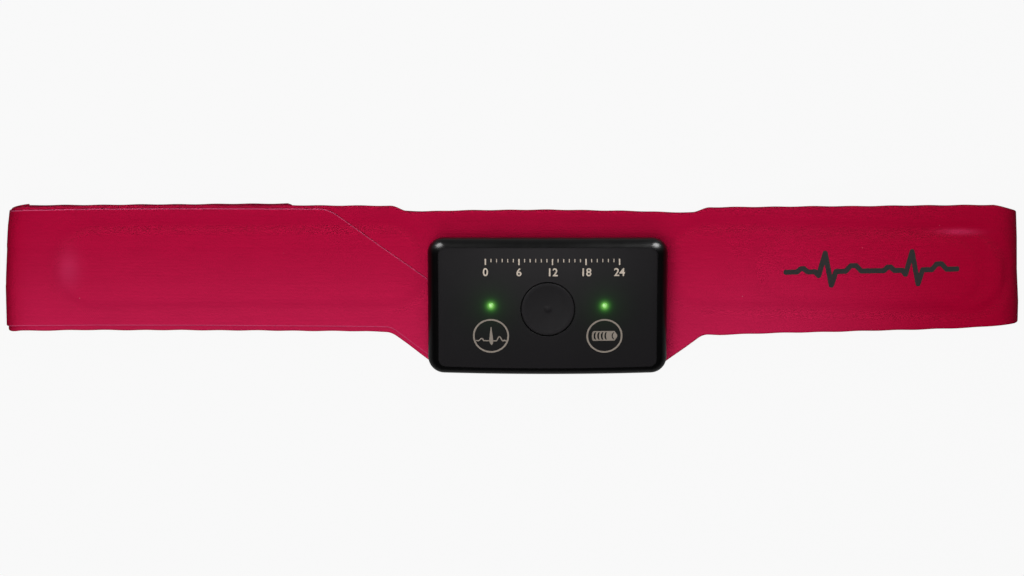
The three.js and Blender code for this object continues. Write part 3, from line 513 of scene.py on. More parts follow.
def vector_calc(tree, operation, *values, output=0):
    """One step of arithmetic on vectors."""
    made = add_node(tree, "ShaderNodeVectorMath", dict(enumerate(values)), operation=operation)
    return made.outputs[output]


def share_between(tree, value, start, end, **settings):
    """0 where a value is at the start, and 1 where it is at the end."""
    inputs = {"Value": value, "From Min": start, "From Max": end}
    return add_node(tree, "ShaderNodeMapRange", inputs, **settings).outputs[0]


def noise(tree, place, scale, detail, roughness=0.5):
    inputs = {"Vector": place, "Scale": scale, "Detail": detail, "Roughness": roughness}
    return add_node(tree, "ShaderNodeTexNoise", inputs).outputs[0]


def new_group(name, inputs, outputs, recipe):
    """A shader group with named value sockets, whose recipe gives what it puts out, in turn. An
    input whose name starts with Place is a vector."""
    group = bpy.data.node_groups.new(name, "ShaderNodeTree")
    for socket in inputs:
        kind = "NodeSocketVector" if socket.startswith("Place") else "NodeSocketFloat"
        group.interface.new_socket(socket, in_out="INPUT", socket_type=kind)
    for socket in outputs:
        group.interface.new_socket(socket, in_out="OUTPUT", socket_type="NodeSocketFloat")
    given = group.nodes.new("NodeGroupInput").outputs
    out = group.nodes.new("NodeGroupOutput").inputs
    for socket, value in zip(outputs, recipe(group, given)):
        group.links.new(value, out[socket])
    return group


def use_group(tree, group, inputs):
    return add_node(tree, "ShaderNodeGroup", inputs, node_tree=group).outputs


def wave(tree, turns):
    """A row of round humps, one for each whole turn."""
    return calc(tree, "ABSOLUTE", calc(tree, "SINE", calc(tree, "MULTIPLY", turns, math.pi)))


def knit_recipe(tree, given):
    """Fine ribs along the cloth, broken into stitches, with streaks where the yarn took its colour unevenly.
    """
    place = split(tree, given["Place"])
    across = calc(tree, "DIVIDE", place["Y"], given["Rib spacing"])
    along = calc(tree, "DIVIDE", place["X"], given["Stitch spacing"])
    shifted = calc(tree, "ADD", along, calc(tree, "MULTIPLY", calc(tree, "FLOOR", across), 0.5))
    ribs = calc(tree, "MULTIPLY", wave(tree, across), rib_share)
    height = calc(tree, "ADD", ribs, calc(tree, "MULTIPLY", wave(tree, shifted), stitch_share))
    stretched = vector_calc(tree, "MULTIPLY", given["Place"], streak_stretch)
    streak = noise(tree, stretched, scale=1, detail=3)
    cloud = noise(tree, given["Place"], cloud_scale, detail=4)
    uneven = calc(tree, "ADD", streak, calc(tree, "MULTIPLY", cloud, cloud_share))
    centred = calc(tree, "SUBTRACT", uneven, (1 + cloud_share) / 2)
    return height, calc(tree, "ADD", 1, calc(tree, "MULTIPLY", centred, given["Streaks"]))


def lint_recipe(tree, given):
    """Sparse small specks of lint and dust."""
    scale = calc(tree, "DIVIDE", 1, given["Cell size"])
    cells = add_node(tree, "ShaderNodeTexVoronoi", {"Vector": given["Place"], "Scale": scale}).outputs
    chance = add_node(tree, "ShaderNodeSeparateColor", {0: cells["Color"]}).outputs[0]
    chosen = calc(tree, "LESS_THAN", chance, given["Cell share"])
    speck = calc(tree, "LESS_THAN", cells["Distance"], given["Speck share"])
    return [calc(tree, "MULTIPLY", chosen, speck)]


def dye_recipe(tree, given):
    """Where painted light makes the cloth paler, along its lower edge, and painted shade deeper, towards its
    right end.
    """
    place = split(tree, given["Place"])
    smooth = dict(interpolation_type="SMOOTHSTEP")
    return [
        share_between(tree, place[axis], given[name + " from"], given[name + " to"], **smooth)
        for axis, name in (("Y", "Pale"), ("X", "Deep"))
    ]


def wear_recipe(tree, given):
    """A soft oval patch, used for painted sheen and painted shade on the cloth."""
    apart = split(tree, vector_calc(tree, "SUBTRACT", given["Place"], given["Place of patch"]))
    along = calc(tree, "POWER", calc(tree, "DIVIDE", apart["X"], given["Half length"]), 2)
    across = calc(tree, "POWER", calc(tree, "DIVIDE", apart["Y"], given["Half width"]), 2)
    return [calc(tree, "EXPONENT", calc(tree, "MULTIPLY", calc(tree, "ADD", along, across), -1))]


knit = new_group(
    "knit", ("Place", "Rib spacing", "Stitch spacing", "Streaks"), ("Height", "Shade"), knit_recipe,
)
lint = new_group("lint", ("Place", "Cell size", "Speck share", "Cell share"), ("Mask",), lint_recipe)
# Masks for painted light along the lower edge and painted shade towards the right end.
painted_light_and_shade = new_group(
    "uneven dye", ("Place", "Pale from", "Pale to", "Deep from", "Deep to"), ("Pale", "Deep"), dye_recipe,
)
# Oval masks for painted sheen at the pads' ends and painted shade at the left fold.
wear = new_group("wear", ("Place", "Place of patch", "Half length", "Half width"), ("Mask",), wear_recipe)


def new_material(name, **sockets):
    """A material with its Principled shader, whose constant sockets are set by name."""
    material = bpy.data.materials.new(name)
    material.use_nodes = True
    shader = material.node_tree.nodes["Principled BSDF"]
    for socket, value in sockets.items():
        value = (*value, 1) if isinstance(value, tuple) else value
        shader.inputs[socket.replace("_", " ").title().replace("Ior", "IOR")].default_value = value
    return material, material.node_tree, shader


def read_fact(tree, name):
    return add_node(tree, "ShaderNodeAttribute", attribute_name=name).outputs["Fac"]


def raise_bumps(tree, shader, height, distance):
    bump = add_node(tree, "ShaderNodeBump", {"Height": height, "Distance": distance, "Strength": 1})
    tree.links.new(bump.outputs[0], shader.inputs["Normal"])


def dyed(tree, place, colour):
    """The laminate's own colour, with painted light, painted sheen on two pad ends and painted shade."""
    uneven = use_group(tree, painted_light_and_shade, {
        "Place": place, "Pale from": lower_edge_painted_light[0], "Pale to": lower_edge_painted_light[1],
        "Deep from": right_end_painted_shade[0], "Deep to": right_end_painted_shade[1],
    })
    colour = mix_colours(tree, uneven["Pale"], colour, painted_light_crimson)
    colour = mix_colours(tree, uneven["Deep"], colour, painted_shade_crimson)
    # Two patches of painted sheen at the pads' ends, and one of painted shade at the left fold.
    patches = ((left_pad_painted_sheen, painted_sheen_pink), (right_pad_painted_sheen, painted_sheen_pink), (left_fold_painted_shade, painted_shade_crimson))
    for (patch, half_length, half_width), paint in patches:
        rubbed_and_painted_light = use_group(tree, wear, {
            "Place": place, "Place of patch": patch, "Half length": half_length, "Half width": half_width,
        })
        colour = mix_colours(tree, rubbed_and_painted_light["Mask"], colour, paint)
    return colour


def make_cloth_material(name, colour, rib, stitch, relief, roughness, edge_colour=None, paints_light_and_shade=False):
    """A knit or woven cloth on its own map, with painted light and shade from its pressing, lint and pale cut
    edges.
    """
    material, tree, shader = new_material(name, roughness=roughness, specular_ior_level=cloth_specular)
    place = add_node(tree, "ShaderNodeUVMap", uv_map="cloth").outputs[0]
    weave = use_group(tree, knit, {
        "Place": place, "Rib spacing": rib, "Stitch spacing": stitch, "Streaks": streak_share,
    })
    tone = calc(tree, "MULTIPLY_ADD", read_fact(tree, "tone"), pressing_shade, weave["Shade"])
    # Painted light, painted sheen and painted shade over the laminate's own colour.
    if paints_light_and_shade:
        colour = dyed(tree, place, colour)
    shown = mix_colours(tree, 1, colour, tone, "MULTIPLY")
    specks = use_group(tree, lint, {
        "Place": place, "Cell size": lint_cell, "Speck share": lint_speck, "Cell share": lint_share,
    })
    shown = mix_colours(tree, calc(tree, "MULTIPLY", specks["Mask"], lint_strength), shown, lint_pink)
    if edge_colour:
        from_edge = read_fact(tree, "from_edge")
        start, end = (cut_edge_width * share for share in cut_edge_fade)
        near_edge = share_between(tree, from_edge, start, end)
        shown = mix_colours(tree, near_edge, shown, edge_colour)
    tree.links.new(shown, shader.inputs["Base Color"])
    raise_bumps(tree, shader, weave["Height"], relief)
    return material


def ride_as(obj, body, slot, *nodes):
    """The piece rides on a body and stands for CAD nodes, which are hidden. The slot is not used."""
    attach(obj, body)
    if nodes:
        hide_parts(*nodes)
    return obj


laminate = (crimson, rib_spacing, yarn_spacing, yarn_relief, laminate_roughness)
belt_textile = make_cloth_material("belt_textile", *laminate, paints_light_and_shade=True)
cut_textile = make_cloth_material("cut_textile", *laminate, cut_edge_pink, paints_light_and_shade=True)

band_runs = (
    spaced(band_start, left_fold_x, fold_step, band_rim)[:-len(rim_shares)]
    + list(np.arange(left_fold_x, right_fold_x, band_step))
    + spaced(right_fold_x, band_end, fold_step, band_rim)[len(rim_shares):]
)
base_band, cut = lay_cloth(
    "base_band_cloth", band_runs, band_edges, band_surface, band_thickness, band_rim,
    belt_textile, "base_band",
)
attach(base_band, "belt")


# Left cover layer
# A second laminate of the same cloth is bonded over the left half. Its cut edges show pale
# pink, and beside the recorder it is cut off on the slant.
cover_sheet = 0.0005
cover_glue = 0.0001
cover_top_inset = 0.0009
cover_bottom_inset = 0.0017
cover_cut_overhang = 0.0313
cover_cut_rounding = 0.0030
cover_cut_slope = 0.71
cover_wrap_share = 0.7
cover_past_recorder = 0.00195
cover_rim = 0.00026
cover_step = 0.0007
cover_phase = 0.9

cover_start = left_fold_x - cover_wrap_share * math.pi * left_fold_radius
cover_end = recorder_low.x + cover_past_recorder


def cover_edges(run):
    rise, width = strap_line(max(run, left_fold_x))
    turn = max(left_fold_x - run, 0) / (math.pi * left_fold_radius)
    rise += strap_middle - fold_skew / 2 * math.sin(math.pi * turn)
    slant = cover_cut_slope * rounded_ramp(run - recorder_low.x + cover_cut_overhang, cover_cut_rounding)
    high = rise + width / 2 - cover_top_inset - slant + ripple(run, cover_phase) / 3
    return band_edges(run)[0] - ripple(run, band_phases[0]) + cover_bottom_inset, high


def cover_surface(run, y):
    return band_surface(run, y, -cover_glue - cover_sheet)


left_cover, cut = lay_cloth(
    "left_cover_cloth", spaced(cover_start, cover_end, cover_step, cover_rim), cover_edges, cover_surface,
    cover_sheet, cover_rim, cut_textile, "left_cover_layer",
)
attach(left_cover, "belt")


# Electrode pads and conductors
# Soft pads of conductive rubber are bonded behind the band, one beside each end of the
# recorder and one under it, and flat metal-thread ribbons join them to the snap studs.
pad_thickness = 0.0010
pad_rim = 0.0005
pad_rounding = 0.0130
pad_depth = band_thickness + laminate_gap
pad_step = 0.0016
pad_columns = 20
pad_colour = (0.020, 0.020, 0.022)
pad_fold_share = 0.19
thread_colour = (0.58, 0.42, 0.20)
mark_stretch = (2.2, 0.7, 1)
mark_range = (0.45, 0.75)
corner_steps = 12
side_steps = 24
sharp_angle = math.radians(32)
case_bow = (0.00012, 0.00040)
case_corner = 0.0049


def grain_recipe(tree, given):
    """Fine grain, wider mottling, and faint marks from handling, on a piece's own coordinates."""
    wide_scale = calc(tree, "DIVIDE", 1, given["Mottle size"])
    fine = noise(tree, given["Place"], calc(tree, "DIVIDE", 1, given["Grain size"]), detail=3)
    wide = noise(tree, given["Place"], wide_scale, detail=4)
    drawn_out = vector_calc(tree, "MULTIPLY", given["Place"], mark_stretch)
    rubbed_and_painted_light = noise(tree, drawn_out, wide_scale, detail=6, roughness=0.65)
    return fine, wide, share_between(tree, rubbed_and_painted_light, *mark_range)


grain = new_group("grain", ("Place", "Grain size", "Mottle size"), ("Grain", "Mottle", "Marks"), grain_recipe)


def own_place(tree):
    return add_node(tree, "ShaderNodeTexCoord").outputs["Object"]


def make_solid_material(
    name, colour, roughness, size, relief, uneven=0.12, rubbed_and_painted_light=0.06, mottle=0.008, **sockets,
):
    """A moulded, cast or plated finish with its grain, uneven tone and handling marks. Colour may
    be a function that adds nodes and gives a socket."""
    material, tree, shader = new_material(name, **sockets)
    worn = use_group(tree, grain, {"Place": own_place(tree), "Grain size": size, "Mottle size": mottle})
    tone = calc(tree, "MULTIPLY_ADD", worn["Mottle"], 2 * uneven, 1 - uneven)
    colour = colour(tree) if callable(colour) else colour
    tree.links.new(mix_colours(tree, 1, colour, tone, "MULTIPLY"), shader.inputs["Base Color"])
    tree.links.new(calc(tree, "MULTIPLY_ADD", worn["Marks"], rubbed_and_painted_light, roughness), shader.inputs["Roughness"])
    raise_bumps(tree, shader, worn["Grain"], relief)
    return material


def finish_nodes(material, *names):
    """Gives CAD nodes that stay in sight a material."""
    for name in names:
        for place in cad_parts[name].material_slots:
            place.link = "OBJECT"
            place.material = material


def pad_edges(start, end, round_end):
    def edges(run):
        from_end = run - start if round_end < 0 else end - run
        left = max(pad_rounding - from_end, 0) / pad_rounding
        low, high = left_pad_box[0].y, left_pad_box[1].y
        inset = pad_rounding * (1 - math.sqrt(max(1 - left * left, 0)))
        return low + inset, high - inset
    return edges


def half_sizes(low, high):
    return (high.x - low.x) / 2, (high.y - low.y) / 2


def round_ring(half_x, half_y, radius, height, bow=(0, 0), arch_radius=None):
    """A ring with round corners about the recorder's middle. Its long sides may bow, its ends sink."""
    turns = np.linspace(0, math.pi / 2, corner_steps + 1)
    arc = np.stack([radius * np.cos(turns), radius * np.sin(turns)], 1)
    side = np.linspace(half_x - radius, radius - half_x, side_steps + 1)[1:-1]
    upper = np.vstack([
        arc + (half_x - radius, half_y - radius),
        np.stack([side, np.full(len(side), half_y)], 1),
        arc[::-1] * (-1, 1) + (radius - half_x, half_y - radius),
    ])
    lower = upper[::-1] * (1, -1)
    upper[:, 1] -= bow[0] * (upper[:, 0] / half_x) ** 2
    lower[:, 1] += bow[1] * (lower[:, 0] / half_x) ** 2
    ring = np.vstack([upper, lower])
    sink = ring[:, 0] ** 2 / (2 * arch_radius) if arch_radius else np.zeros(len(ring))
    return np.column_stack([ring + (recorder_x, recorder_y), height - sink])


def ring_walls(levels, count, closed=False):
    """Faces that join rings in turn, and the last ring to the first where closed."""
    faces = []
    for level in range(levels if closed else levels - 1):
        for i in range(count):
            a, b = level * count + i, level * count + (i + 1) % count
            faces.append(tuple(corner % (levels * count) for corner in (a, b, b + count, a + count)))
    return faces


def ring_stack(name, rings, material):
    """Joins rings in turn, and closes the first and the last one with strips."""
    count = len(rings[0])
    top = (len(rings) - 1) * count
    faces = ring_walls(len(rings), count)
    for i in range(count // 2 - 1):
        mirror = count - 1 - i
        faces.append((i, mirror, mirror - 1, i + 1))
        faces.append((top + i, top + i + 1, top + mirror - 1, top + mirror))
    return mesh_object(name, np.vstack(rings).tolist(), faces, material, sharp_angle)


def round_edge(reach, steps=4):
    """Inset and drop of each step of a rounded edge, from the side up to the top."""
    turns = [math.pi / 2 * i / steps for i in range(steps + 1)]
    return [(reach * (1 - math.cos(t)), reach * (1 - math.sin(t))) for t in turns]


def lay_slab(name, body, slot, node, corner, rim, material):
    """A soft flat slab with rounded edges, in the box of its CAD node."""
    low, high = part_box(node)
    half_x, half_y = half_sizes(low, high)
    rings = [round_ring(half_x - i, half_y - i, corner, low.z + d) for i, d in reversed(round_edge(rim))]
    rings += [round_ring(half_x - i, half_y - i, corner, high.z - d) for i, d in round_edge(rim)]
    slab = ring_stack(name, rings, material)
    ride_as(slab, body, slot, node)


electrode_rubber = make_solid_material(
    "electrode_rubber", pad_colour, roughness=0.68, size=0.0004, relief=0.00003, specular_ior_level=0.1,
)
contact_metal = make_solid_material(
    "contact_metal", thread_colour, roughness=0.34, size=0.0003, relief=0.00001, metallic=1,
)

right_pad_end = right_fold_x + pad_fold_share * math.pi * right_fold_radius
pad_spans = {
    "left_electrode": (left_pad_box[0].x, left_pad_box[1].x, -1),
    "right_electrode": (right_pad_box[0].x, right_pad_end, 1),
}
for name, (start, end, round_end) in pad_spans.items():
    pad, cut = lay_cloth(
        name + "_cushion", spaced(start, end, pad_step, pad_rim), pad_edges(start, end, round_end),
        lambda run, y: band_surface(run, y, pad_depth), pad_thickness, pad_rim,
        electrode_rubber, name + "_pad", pad_columns,
    )
    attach(pad, "belt")
lay_slab(
    "centre_electrode_cushion", "belt", "electrode_pad", "centre_electrode_pad",
    case_corner, pad_rim, electrode_rubber,
)
finish_nodes(contact_metal, "left_conductor", "right_conductor")


# Rear straps
# The belt's back is plain crimson webbing in two lengths, each sewn edge to edge to one end
# of the band. The right one rises over the closure at its free end.
web_thickness = 0.0012
web_rim = 0.0005
web_step = 0.0012
web_columns = 40
web_rib = 0.00070
web_yarn = 0.00110
web_relief = 0.00014
web_roughness = 0.75
web_colour = (0.30, 0.0052, 0.036)
tab_end_line = (0.0005, 0.0390)
lap_end_line = (0.0002, 0.0380)
lap_ramp = 0.0080
lap_ramp_overhang = 0.0015
left_web_sink = 0.00045
right_web_sink = 0.0013
right_web_sink_start = -0.0480
right_web_sink_end = 0.0680
right_web_sink_reach = 0.0160
strap_phases = (3.3, 1.2)

tab_root_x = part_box("closure_tab")[0].x
tab_end_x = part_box("closure_tab")[1].x
lap_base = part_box("loop_patch")[1].z
lap_ramp_start = tab_end_x + lap_ramp_overhang


def strap_edges(line):
    """Turns a strap's rise and width at a place into its two edges."""
    def edges(x):
        rise, width = line(x)
        middle = strap_middle + rise
        low, high = (ripple(x, phase) for phase in strap_phases)
        return middle - width / 2 + low, middle + width / 2 + high
    return edges


def rear_left_line(x):
    share = (x - left_fold_x) / (tab_end_x - left_fold_x)
    rise, width = between(strap_line(left_fold_x), tab_end_line, share)
    return rise - left_web_sink, width


def rear_right_line(x):
    share = (right_fold_x - x) / (right_fold_x - tab_root_x)
    rise, width = between(right_fold_end, lap_end_line, share)
    sunk = ease((x - right_web_sink_start) / right_web_sink_reach)
    sunk *= ease((right_web_sink_end - x) / right_web_sink_reach)
    return rise - right_web_sink * sunk, width


def flat_surface(height):
    """The surface of a cloth that lies flat with its upper face at a height."""
    return lambda x, y: (np.array((x, y, height)), np.array((0, 0, 1)), 0)


def right_web_height(x):
    return lap_base * (1 - ease((x - lap_ramp_start) / lap_ramp))


def right_web_surface(x, y):
    slope = (right_web_height(x + laminate_gap) - right_web_height(x - laminate_gap)) / (2 * laminate_gap)
    normal = np.array((-slope, 0, 1)) / math.hypot(slope, 1)
    return np.array((x, y, right_web_height(x))) + web_thickness * normal, normal, 0


belt_web = make_cloth_material("belt_web", web_colour, web_rib, web_yarn, web_relief, web_roughness)


def lay_web(name, start, end, line, surface, node, *rests_on):
    """A length of webbing on the belt."""
    web, cut = lay_cloth(
        name, spaced(start, end, web_step, web_rim), strap_edges(line), surface, web_thickness, web_rim,
        belt_web, node, web_columns,
    )
    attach(web, "belt")


lay_web(
    "rear_left_webbing", left_fold_x, tab_root_x, rear_left_line, flat_surface(web_thickness),
    "rear_left_strap", "floor",
)
lay_web(
    "rear_right_webbing", tab_root_x, right_fold_x, rear_right_line, right_web_surface,
    "rear_right_strap", "floor", "loop_patch_cloth",
)


# Closure
# The left strap ends in a round-cornered tab that carries the hook side of a hook-and-loop
# fastener. Its loop side is sewn under the end of the right strap.
tab_corner = 0.0016
patch_inset = 0.0022
patch_sheet = 0.0002
patch_rim = 0.00009
patch_step = 0.0012
patch_colour = (0.014, 0.014, 0.016)
hook_pitch = 0.00135
hook_height = 0.00032
hook_thread = 0.00007
loop_thread_share = 0.8
loop_pitch = 0.00115
patch_unevenness = 0.18

patch_start, patch_end = tab_root_x + patch_inset, tab_end_x - patch_inset


def cut_end(edges, end, corner):
    """Edges of a piece whose far end has two round corners."""
    def rounded(x):
        low, high = edges(x)
        left = max(corner - (end - x), 0)
        inset = corner - math.sqrt(max(corner * corner - left * left, 0))
        return low + inset, high - inset
    return rounded


def inset_edges(line):
    """Edges of a patch sewn on a strap."""
    def edges(x):
        rise, width = line(x)
        return strap_middle + rise - width / 2 + patch_inset, strap_middle + rise + width / 2 - patch_inset
    return edges


def lay_patch(name, line, top, node):
    """One side of the fastener, with its outline."""
    edges = cut_end(inset_edges(line), patch_end, tab_corner - patch_inset / 2)
    patch, cut = lay_cloth(
        name, spaced(patch_start, patch_end, patch_step, patch_rim), edges, flat_surface(top),
        patch_sheet, patch_rim, fastener_cloth, node, web_columns,
    )
    return patch, cut, edges


def repeat_shape(name, shape, places, material, turns=None):
    """Geometry nodes set a copy of a shape at each place, turned by its own angles."""
    tree = bpy.data.node_groups.new(name + "_nodes", "GeometryNodeTree")
    kinds = {"Places": "Geometry", "Shape": "Object", "Finish": "Material", "Size": "Float"}
    for socket, kind in kinds.items():
        tree.interface.new_socket(socket, in_out="INPUT", socket_type="NodeSocket" + kind)
    tree.interface.new_socket("Pieces", in_out="OUTPUT", socket_type="NodeSocketGeometry")
    given = tree.nodes.new("NodeGroupInput").outputs
    out = tree.nodes.new("NodeGroupOutput").inputs
    copied = add_node(tree, "GeometryNodeObjectInfo", {"Object": given["Shape"]}).outputs["Geometry"]
    turn = add_node(tree, "GeometryNodeInputNamedAttribute", {"Name": "turn"}, data_type="FLOAT_VECTOR")
    placed = add_node(tree, "GeometryNodeInstanceOnPoints", {
        "Points": given["Places"], "Instance": copied, "Rotation": turn.outputs[0], "Scale": given["Size"],
    }).outputs[0]
    real = add_node(tree, "GeometryNodeRealizeInstances", {"Geometry": placed}).outputs[0]
    painted = add_node(tree, "GeometryNodeSetMaterial", {"Geometry": real, "Material": given["Finish"]})
    tree.links.new(painted.outputs[0], out["Pieces"])

    holder = mesh_object(name, [tuple(place) for place in places], [])
    angles = np.array(turns if turns is not None else np.zeros((len(places), 3)), dtype=np.float32)
    holder.data.attributes.new("turn", "FLOAT_VECTOR", "POINT").data.foreach_set("vector", angles.ravel())
    modifier = holder.modifiers.new("repeat", "NODES")
    modifier.node_group = tree
    names = {item.name: item.identifier for item in tree.interface.items_tree if item.in_out == "INPUT"}
    modifier[names["Shape"]] = shape
    modifier[names["Finish"]] = material
    modifier[names["Size"]] = 1.0
    settle(holder)
    bpy.data.objects.remove(shape)
    return holder


def made_mesh(obj):
    """What an object's modifiers or its text make, as a plain mesh."""
    bpy.context.view_layer.update()
    return bpy.data.meshes.new_from_object(obj.evaluated_get(bpy.context.evaluated_depsgraph_get()))


def settle(obj):
    """Keeps what the modifiers make of a piece as its plain mesh."""
    made = made_mesh(obj)
    obj.modifiers.clear()
    obj.data = made
    made.name = obj.name


def thread_shape(name, points, radius, sides=5):
    """A short length of thread along a few points, closed at both ends."""
    points = [Vector(p) for p in points]
    bm = bmesh.new()
    rings = []
    for i, point in enumerate(points):
        ahead = (points[min(i + 1, len(points) - 1)] - points[max(i - 1, 0)]).normalized()
        side = ahead.cross(Vector((0.05, 1, 0.02))).normalized()
        up = ahead.cross(side)
        angles = [2 * math.pi * k / sides for k in range(sides)]
        rings.append([bm.verts.new(point + radius * (side * math.cos(a) + up * math.sin(a))) for a in angles])
    for first, second in zip(rings, rings[1:]):
        for k in range(sides):
            bm.faces.new((first[k], first[(k + 1) % sides], second[(k + 1) % sides], second[k]))
    bm.faces.new(rings[0][::-1])
    bm.faces.new(rings[-1])
    bmesh.ops.recalc_face_normals(bm, faces=bm.faces)
    mesh = bpy.data.meshes.new(name)
    bm.to_mesh(mesh)
    bm.free()
    mesh.shade_smooth()
    return link_new(name, mesh)


def peel(obj):
    """Bakes the piece's place into its mesh."""
    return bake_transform(obj)


def patch_places(start, end, edges, pitch, height, seed):
    """Staggered places over a patch, each a little off its own."""
    chance = np.random.default_rng(seed)
    places = []
    for row, x in enumerate(np.arange(start + pitch, end - pitch, pitch)):
        low, high = edges(x)
        across = np.arange(low + pitch * (1 + row % 2 / 2), high - pitch, pitch)
        shifts = chance.uniform(-patch_unevenness, patch_unevenness, (len(across), 2)) * pitch
        places += [(x + dx, y + dy, height) for y, (dx, dy) in zip(across, shifts)]
    return places


fastener_cloth = make_cloth_material(
    "fastener_cloth", patch_colour, rib=0.0009, stitch=0.0009, relief=0.0001, roughness=0.8,
)
fastener_thread = make_solid_material(
    "fastener_thread", patch_colour, roughness=0.5, size=0.0003, relief=0.00001, specular_ior_level=0.1,
)

tab, cut = lay_cloth(
    "closure_tab_cloth", spaced(tab_root_x, tab_end_x, patch_step, web_rim),
    cut_end(strap_edges(rear_left_line), tab_end_x, tab_corner), flat_surface(web_thickness),
    web_thickness, web_rim, belt_web, "closure_tab", web_columns,
)
peel(tab)

hook_top = web_thickness + patch_sheet
hook_cloth, cut, hook_edges = lay_patch("hook_patch_cloth", rear_left_line, hook_top, "hook_patch")
peel(hook_cloth)
hook_shape = thread_shape("hook_shape", [
    (0, 0, -hook_thread), (0, 0, 0.55 * hook_height), (0.25 * hook_height, 0, 0.85 * hook_height),
    (0.6 * hook_height, 0, 0.8 * hook_height), (0.75 * hook_height, 0, 0.5 * hook_height),
], hook_thread, sides=4)
hook_places = patch_places(patch_start, patch_end, hook_edges, hook_pitch, hook_top, seed=3)
hook_turns = [(0, 0, math.pi * (i % 2)) for i in range(len(hook_places))]
hooks = repeat_shape("fastener_hooks", hook_shape, hook_places, fastener_thread, hook_turns)
peel(hooks)

loop_cloth, cut, loop_edges = lay_patch("loop_patch_cloth", rear_right_line, lap_base, "loop_patch")
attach(loop_cloth, "belt")
loop_shape = thread_shape("loop_shape", [
    (-0.7 * hook_height, 0, hook_thread), (-0.6 * hook_height, 0, -0.45 * hook_height),
    (0, 0, -0.8 * hook_height), (0.6 * hook_height, 0, -0.45 * hook_height),
    (0.7 * hook_height, 0, hook_thread),
], hook_thread * loop_thread_share, sides=4)
loop_places = patch_places(patch_start, patch_end, loop_edges, loop_pitch, lap_base - patch_sheet, seed=5)
loop_turns = np.random.default_rng(seed=7).uniform(0, math.pi, (len(loop_places), 3)) * (0, 0, 1)
loops = repeat_shape("fastener_loops", loop_shape, loop_places, fastener_thread, loop_turns)
ride_as(loops, "belt", "hook_and_loop")


# Stitching
# Zigzag stitches of crimson thread cross the two seams where webbing meets the band, at the
# belt's back and on its inner side.
thread_radius = 0.00012
seam_pitch = 0.0019
seam_reach = 0.0022
seam_height = 0.00002
thread_tint = (0.33, 0.010, 0.045)


def zigzag(x, edges, height, dip):
    """Places and turns of the threads of a zigzag across a seam."""
    low, high = edges(x)
    places, turns = [], []
    lean = math.atan2(seam_pitch / 2, 2 * seam_reach)
    for i, y in enumerate(np.arange(low + seam_pitch, high - seam_pitch, seam_pitch / 2)):
        places.append((x, y, height))
        turns.append((math.pi * dip, 0, lean if i % 2 else -lean))
    return places, turns


sewing_thread = make_solid_material(
    "sewing_thread", thread_tint, roughness=0.55, size=0.0002, relief=0.00002, specular_ior_level=0.03,
)
seam_shape = thread_shape("seam_shape", [
    (x * seam_reach, 0, z * thread_radius)
    for x, z in ((-1.04, -2.2), (-0.9, -0.2), (0, 0.2), (0.9, -0.2), (1.04, -2.2))
], thread_radius, sides=6)
seam_places, seam_turns = [], []
for height, dip in ((seam_height, 1), (band_thickness, 0)):
    for x, line in ((left_fold_x, rear_left_line), (right_fold_x, rear_right_line)):
        places, turns = zigzag(x, strap_edges(line), height, dip)
        seam_places += places
        seam_turns += turns
seams = repeat_shape("seam_stitches", seam_shape, seam_places, sewing_thread, seam_turns)
ride_as(seams, "belt", "belt_web")


# Dock plate and snap fasteners
# A moulded plate with a rounded edge lies on the band. Four steel snap studs go through both
# and are riveted over round caps at the back, which also touch the centre electrode.
dock_round = 0.0005
dock_colour = (0.012, 0.012, 0.013)
steel_tone = (0.42, 0.43, 0.45)
cap_radius = 0.0040
cap_thickness = 0.0007
corner_share = 0.4
stud_profile = [
    (0, -0.0027), (0.0010, -0.0027), (0.0010, 0), (0.0033, 0), (0.0033, 0.0003), (0.0014, 0.0003),
    (0.0014, 0.0014), (0.0018, 0.00185), (0.0014, 0.0023), (0, 0.0023),
]

dock_low, dock_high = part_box("dock_plate")


def four(name):
    """The names of the four CAD nodes of a kind."""
    return [f"{name}_{i}" for i in (1, 2, 3, 4)]


stud_places = [((low + high) / 2).to_2d() for low, high in map(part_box, four("snap_stud"))]


def soften(profile, reach, steps=4):
    """Rounds the corners of a profile, each by no more than part of the lines beside it."""
    points = [Vector(p) for p in profile]
    made = [points[0]]
    for before, corner, after in zip(points, points[1:], points[2:]):
        back = (before - corner) * min(reach / (before - corner).length, corner_share)
        ahead = (after - corner) * min(reach / (after - corner).length, corner_share)
        for i in range(steps + 1):
            t = i / steps
            made.append(corner + back * (1 - t) ** 2 + ahead * t ** 2)
    return [tuple(p) for p in made + [points[-1]]]


def turned(name, profile, material=None, steps=48, place=(0, 0, 0)):
    """A turned shape about an upright line, from radius and height. Its profile starts and ends on
    the line."""
    rings = len(profile) - 2
    turns = [2 * math.pi * i / steps for i in range(steps)]
    points = [(0, 0, profile[0][1])]
    for radius, height in profile[1:-1]:
        points += [(radius * math.cos(t), radius * math.sin(t), height) for t in turns]
    points.append((0, 0, profile[-1][1]))
    faces = []
    for i in range(steps):
        after = (i + 1) % steps
        faces.append((0, 1 + after, 1 + i))
        for level in range(rings - 1):
            a, b = 1 + level * steps + i, 1 + level * steps + after
            faces.append((a, b, b + steps, a + steps))
        last = 1 + (rings - 1) * steps
        faces.append((last + i, last + after, len(points) - 1))
    return mesh_object(name, (np.array(points) + place).tolist(), faces, material, sharp_angle)


def box_shape(name, middle, size):
    mesh = bpy.data.meshes.new(name)
    bm = bmesh.new()
    bmesh.ops.create_cube(bm, size=1, matrix=Matrix.Translation(middle) @ Matrix.Diagonal((*size, 1)))
    bm.to_mesh(mesh)
    bm.free()
    return link_new(name, mesh)


